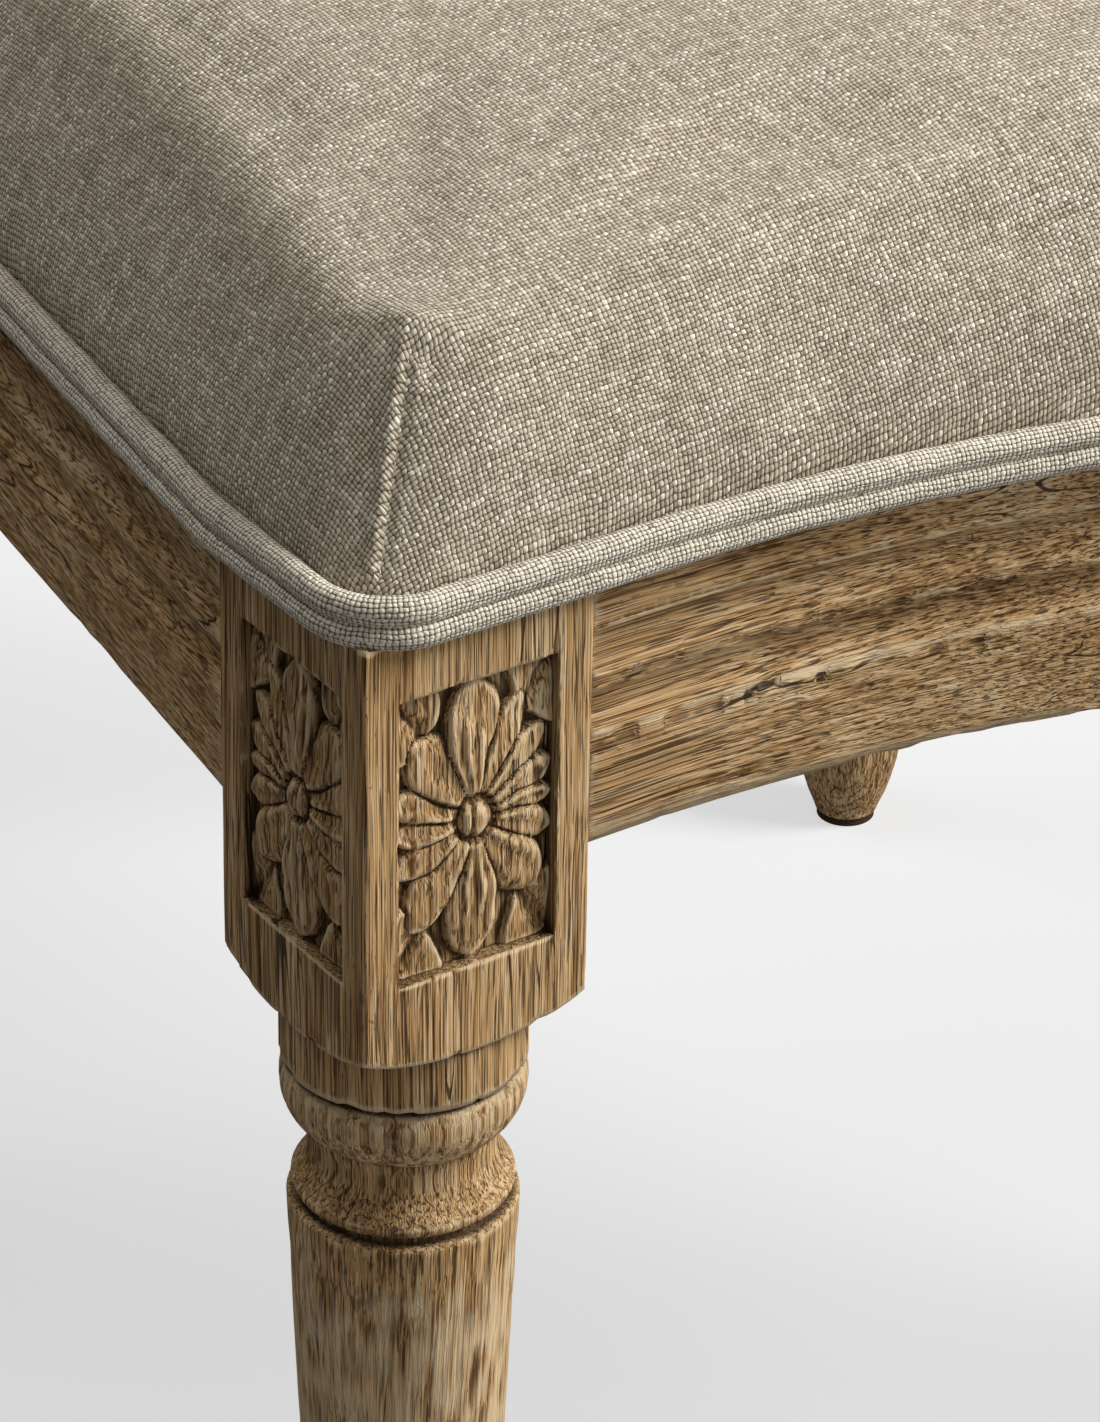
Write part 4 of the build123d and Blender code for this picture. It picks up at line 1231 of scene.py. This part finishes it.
def studio_lamp(scene, name, spot, aim, side, power):
    """A round soft lamp that looks at a point."""
    lamp = bpy.data.lights.new(name, "AREA")
    lamp.shape = "DISK"
    lamp.size = side
    lamp.energy = power
    holder = bpy.data.objects.new(name, lamp)
    holder.location = spot
    holder.rotation_euler = (Vector(aim) - Vector(spot)).to_track_quat("-Z", "Y").to_euler()
    scene.collection.objects.link(holder)


def photo_camera(scene):
    """The camera of the photograph, placed from the outer front corner of the left leg's ledge."""
    yaw, pitch, roll = camera_yaw, camera_pitch, camera_roll
    ahead = Vector((sin(yaw) * cos(pitch), cos(yaw) * cos(pitch), -sin(pitch)))
    right = Vector((cos(yaw), -sin(yaw), 0))
    up = right.cross(ahead)
    tilted = right * cos(roll) + up * sin(roll)
    upright = up * cos(roll) - right * sin(roll)
    data = bpy.data.cameras.new("camera")
    data.sensor_width = sensor
    data.lens = sensor * focal_pixels / picture_height
    data.clip_start = 0.05
    camera = bpy.data.objects.new("camera", data)
    corner = Vector((-half_width, front_y, ledge()))
    turn = Matrix((tilted, upright, -ahead)).transposed().to_4x4()
    camera.matrix_world = Matrix.Translation(corner + camera_offset) @ turn
    scene.collection.objects.link(camera)
    scene.camera = camera


# Operators

class CHAIR_OT_oak(bpy.types.Operator):
    """Replace every oak piece by a weathered copy and carve the rosettes."""

    bl_idname = "chair.oak"
    bl_label = "Weathered oak"

    def execute(self, context):
        upright = oak("weathered oak, upright grain", (0, 0, 0), 0.0)
        across = oak("weathered oak, grain from side to side", (0, pi / 2, 0), 0.31)
        back = oak("weathered oak, grain from front to back", (pi / 2, 0, 0), 0.57)
        top = ledge()
        crests = [top - drop for drop in crest_drops]

        def on_block(spot):
            return spot.z > top - leg_shown

        def on_side(spot):
            return abs(spot.x) > side_shown

        def on_front(spot):
            return spot.y < front_y + front_shown

        for side in ("left", "right"):
            worn(f"front_leg_{side}", upright, up_axis, block_edge, shaft_edge, on_block, flat_head)
            worn(
                f"side_rail_{side}", back, depth_axis, side_edge, side_hidden_edge,
                on_side, flat_head, crests,
            )
            worn(f"rear_leg_{side}", upright, up_axis, plain_edge)
            worn(f"back_frame_{side}", upright, up_axis, plain_edge)
        worn(
            "front_rail", across, across_axis, front_edge, front_hidden_edge, on_front, deep_edge, crests
        )
        worn("back_rail", across, across_axis, back_edge)
        worn("back_frame_top", across, across_axis, plain_edge)
        worn("back_frame_bottom", across, across_axis, plain_edge)
        rosettes(upright)
        return {"FINISHED"}


class CHAIR_OT_fittings(bpy.types.Operator):
    """Give the hidden blocks, dowels, board, screws and floor glides their materials."""

    bl_idname = "chair.fittings"
    bl_label = "Blocks and fittings"

    def execute(self, context):
        c = colours()
        plain = beech("plain beech")
        dressed = {
            "corner_block": plain, "back_dowels": plain,
            "corner_screws": speckled("zinc-plated steel", c.zinc, 0.0012, 0.00002, 0.35, metal=1.0),
            "glides": speckled("grey felt", c.felt, 0.0006, 0.0003, 0.95),
            "outside_back_panel": speckled("brown fibreboard", c.board, 0.0015, 0.0001, 0.8),
        }
        for name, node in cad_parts.items():
            for start, material in dressed.items():
                if name.startswith(start):
                    node.data.materials.clear()
                    node.data.materials.append(material)
        return {"FINISHED"}


class CHAIR_OT_underseat(bpy.types.Operator):
    """Lay the webbing, the hessian and the dust cover under the seat."""

    bl_idname = "chair.underseat"
    bl_label = "Webbing and sacking"

    def execute(self, context):
        c = colours()
        pale, gap_shade = dimmed(c.jute, 1.3), dimmed(c.jute, 0.4)
        jute = woven("jute webbing", jute_thread, pale, c.jute, gap_shade)
        pale, gap_shade = dimmed(c.hessian, 1.3), dimmed(c.hessian, 0.25)
        sack = woven("hessian", hessian_thread, pale, c.hessian, gap_shade)
        pale, gap_shade = dimmed(c.cambric, 1.6), dimmed(c.cambric, 0.5)
        black = woven("black cambric", cambric_thread, pale, c.cambric, gap_shade)
        draped("seat_webbing_lengthwise", jute, "jute")
        draped("seat_webbing_crosswise", jute, "jute")
        cloth_sheet(
            "seat_hessian", sack, "hessian", ["seat_webbing_lengthwise_cloth"],
            corner_cut=hessian_cut, drawn_in=hessian_drawn_in,
        )
        cloth_sheet("dust_cover", black, "cambric", ["front_rail_worn", "back_rail_worn"], sag=dust_sag)
        return {"FINISHED"}


class CHAIR_OT_seat(bpy.types.Operator):
    """Build the padded seat and its welts."""

    bl_idname = "chair.seat"
    bl_label = "Seat"

    def execute(self, context):
        s, c = sizes(), colours()
        linen = woven("plain-weave linen", s.thread, c.linen_pale, c.linen_mid, c.linen_gap_shade)
        seat_cover(linen)
        # The welts' linen is painted lighter than the cover's.
        seat_welts(woven("linen cord, painted lighter", s.thread, c.linen_pale, c.linen_cord_painted_lighter, c.linen_gap_shade))
        return {"FINISHED"}


class CHAIR_OT_back(bpy.types.Operator):
    """Build the padded oval back, its welts and the cloths behind it."""

    bl_idname = "chair.back"
    bl_label = "Back"

    def execute(self, context):
        linen = bpy.data.materials["plain-weave linen"]
        sack = bpy.data.materials["hessian"]
        back_cover(linen)
        back_welts(bpy.data.materials["linen cord, painted lighter"])
        oval_sheet("back_hessian_cloth", "back_hessian", sack, "hessian", sheet_out)
        oval_sheet("outside_back_linen", "outside_back_cover", linen, "linen", -sheet_out)
        return {"FINISHED"}


class CHAIR_OT_stage(bpy.types.Operator):
    """Set the pale floor, the soft studio lamps and the camera."""

    bl_idname = "chair.stage"
    bl_label = "Stage"

    def execute(self, context):
        context.scene.view_settings.view_transform = "Standard"
        studio_world(context.scene)
        studio_floor(context.scene)
        for name, spot, aim, side, power in (
            ("key", (1.48, -1.12, 1.80), (-0.05, -0.15, 0.42), 1.0, 70),
            ("front", (0.2, -2.3, 0.9), (0, 0, 0.4), 1.4, 7),
            ("rim", (-0.7, 0.8, 2.5), (-0.2, 0, 0.4), 1.2, 18),
        ):
            studio_lamp(context.scene, name, spot, aim, side, power)
        photo_camera(context.scene)
        return {"FINISHED"}


class CHAIR_PT_panel(bpy.types.Panel):
    """Sizes, colours and steps of the chair."""

    bl_idname = "CHAIR_PT_panel"
    bl_label = "Oak and linen chair"
    bl_space_type = "VIEW_3D"
    bl_region_type = "UI"
    bl_category = "Chair"

    def draw(self, context):
        for group in (context.scene.chair_sizes, context.scene.chair_colours):
            box = self.layout.box()
            for name in group.__annotations__:
                box.prop(group, name)
        for operator in operators:
            self.layout.operator(operator.bl_idname)


operators = (
    CHAIR_OT_oak, CHAIR_OT_fittings, CHAIR_OT_underseat, CHAIR_OT_seat, CHAIR_OT_back, CHAIR_OT_stage
)
classes = (ChairSizes, ChairColours, *operators, CHAIR_PT_panel)


def register():
    """Add the chair's classes and settings."""
    for cls in classes:
        bpy.utils.register_class(cls)
    bpy.types.Scene.chair_sizes = bpy.props.PointerProperty(type=ChairSizes)
    bpy.types.Scene.chair_colours = bpy.props.PointerProperty(type=ChairColours)


def unregister():
    """Remove the chair's classes and settings."""
    del bpy.types.Scene.chair_colours
    del bpy.types.Scene.chair_sizes
    for cls in reversed(classes):
        bpy.utils.unregister_class(cls)


def main():
    """Build every piece."""
    register()
    bpy.ops.chair.oak()
    bpy.ops.chair.fittings()
    bpy.ops.chair.underseat()
    bpy.ops.chair.seat()
    bpy.ops.chair.back()
    bpy.ops.chair.stage()


if __name__ == "__main__":
    main()
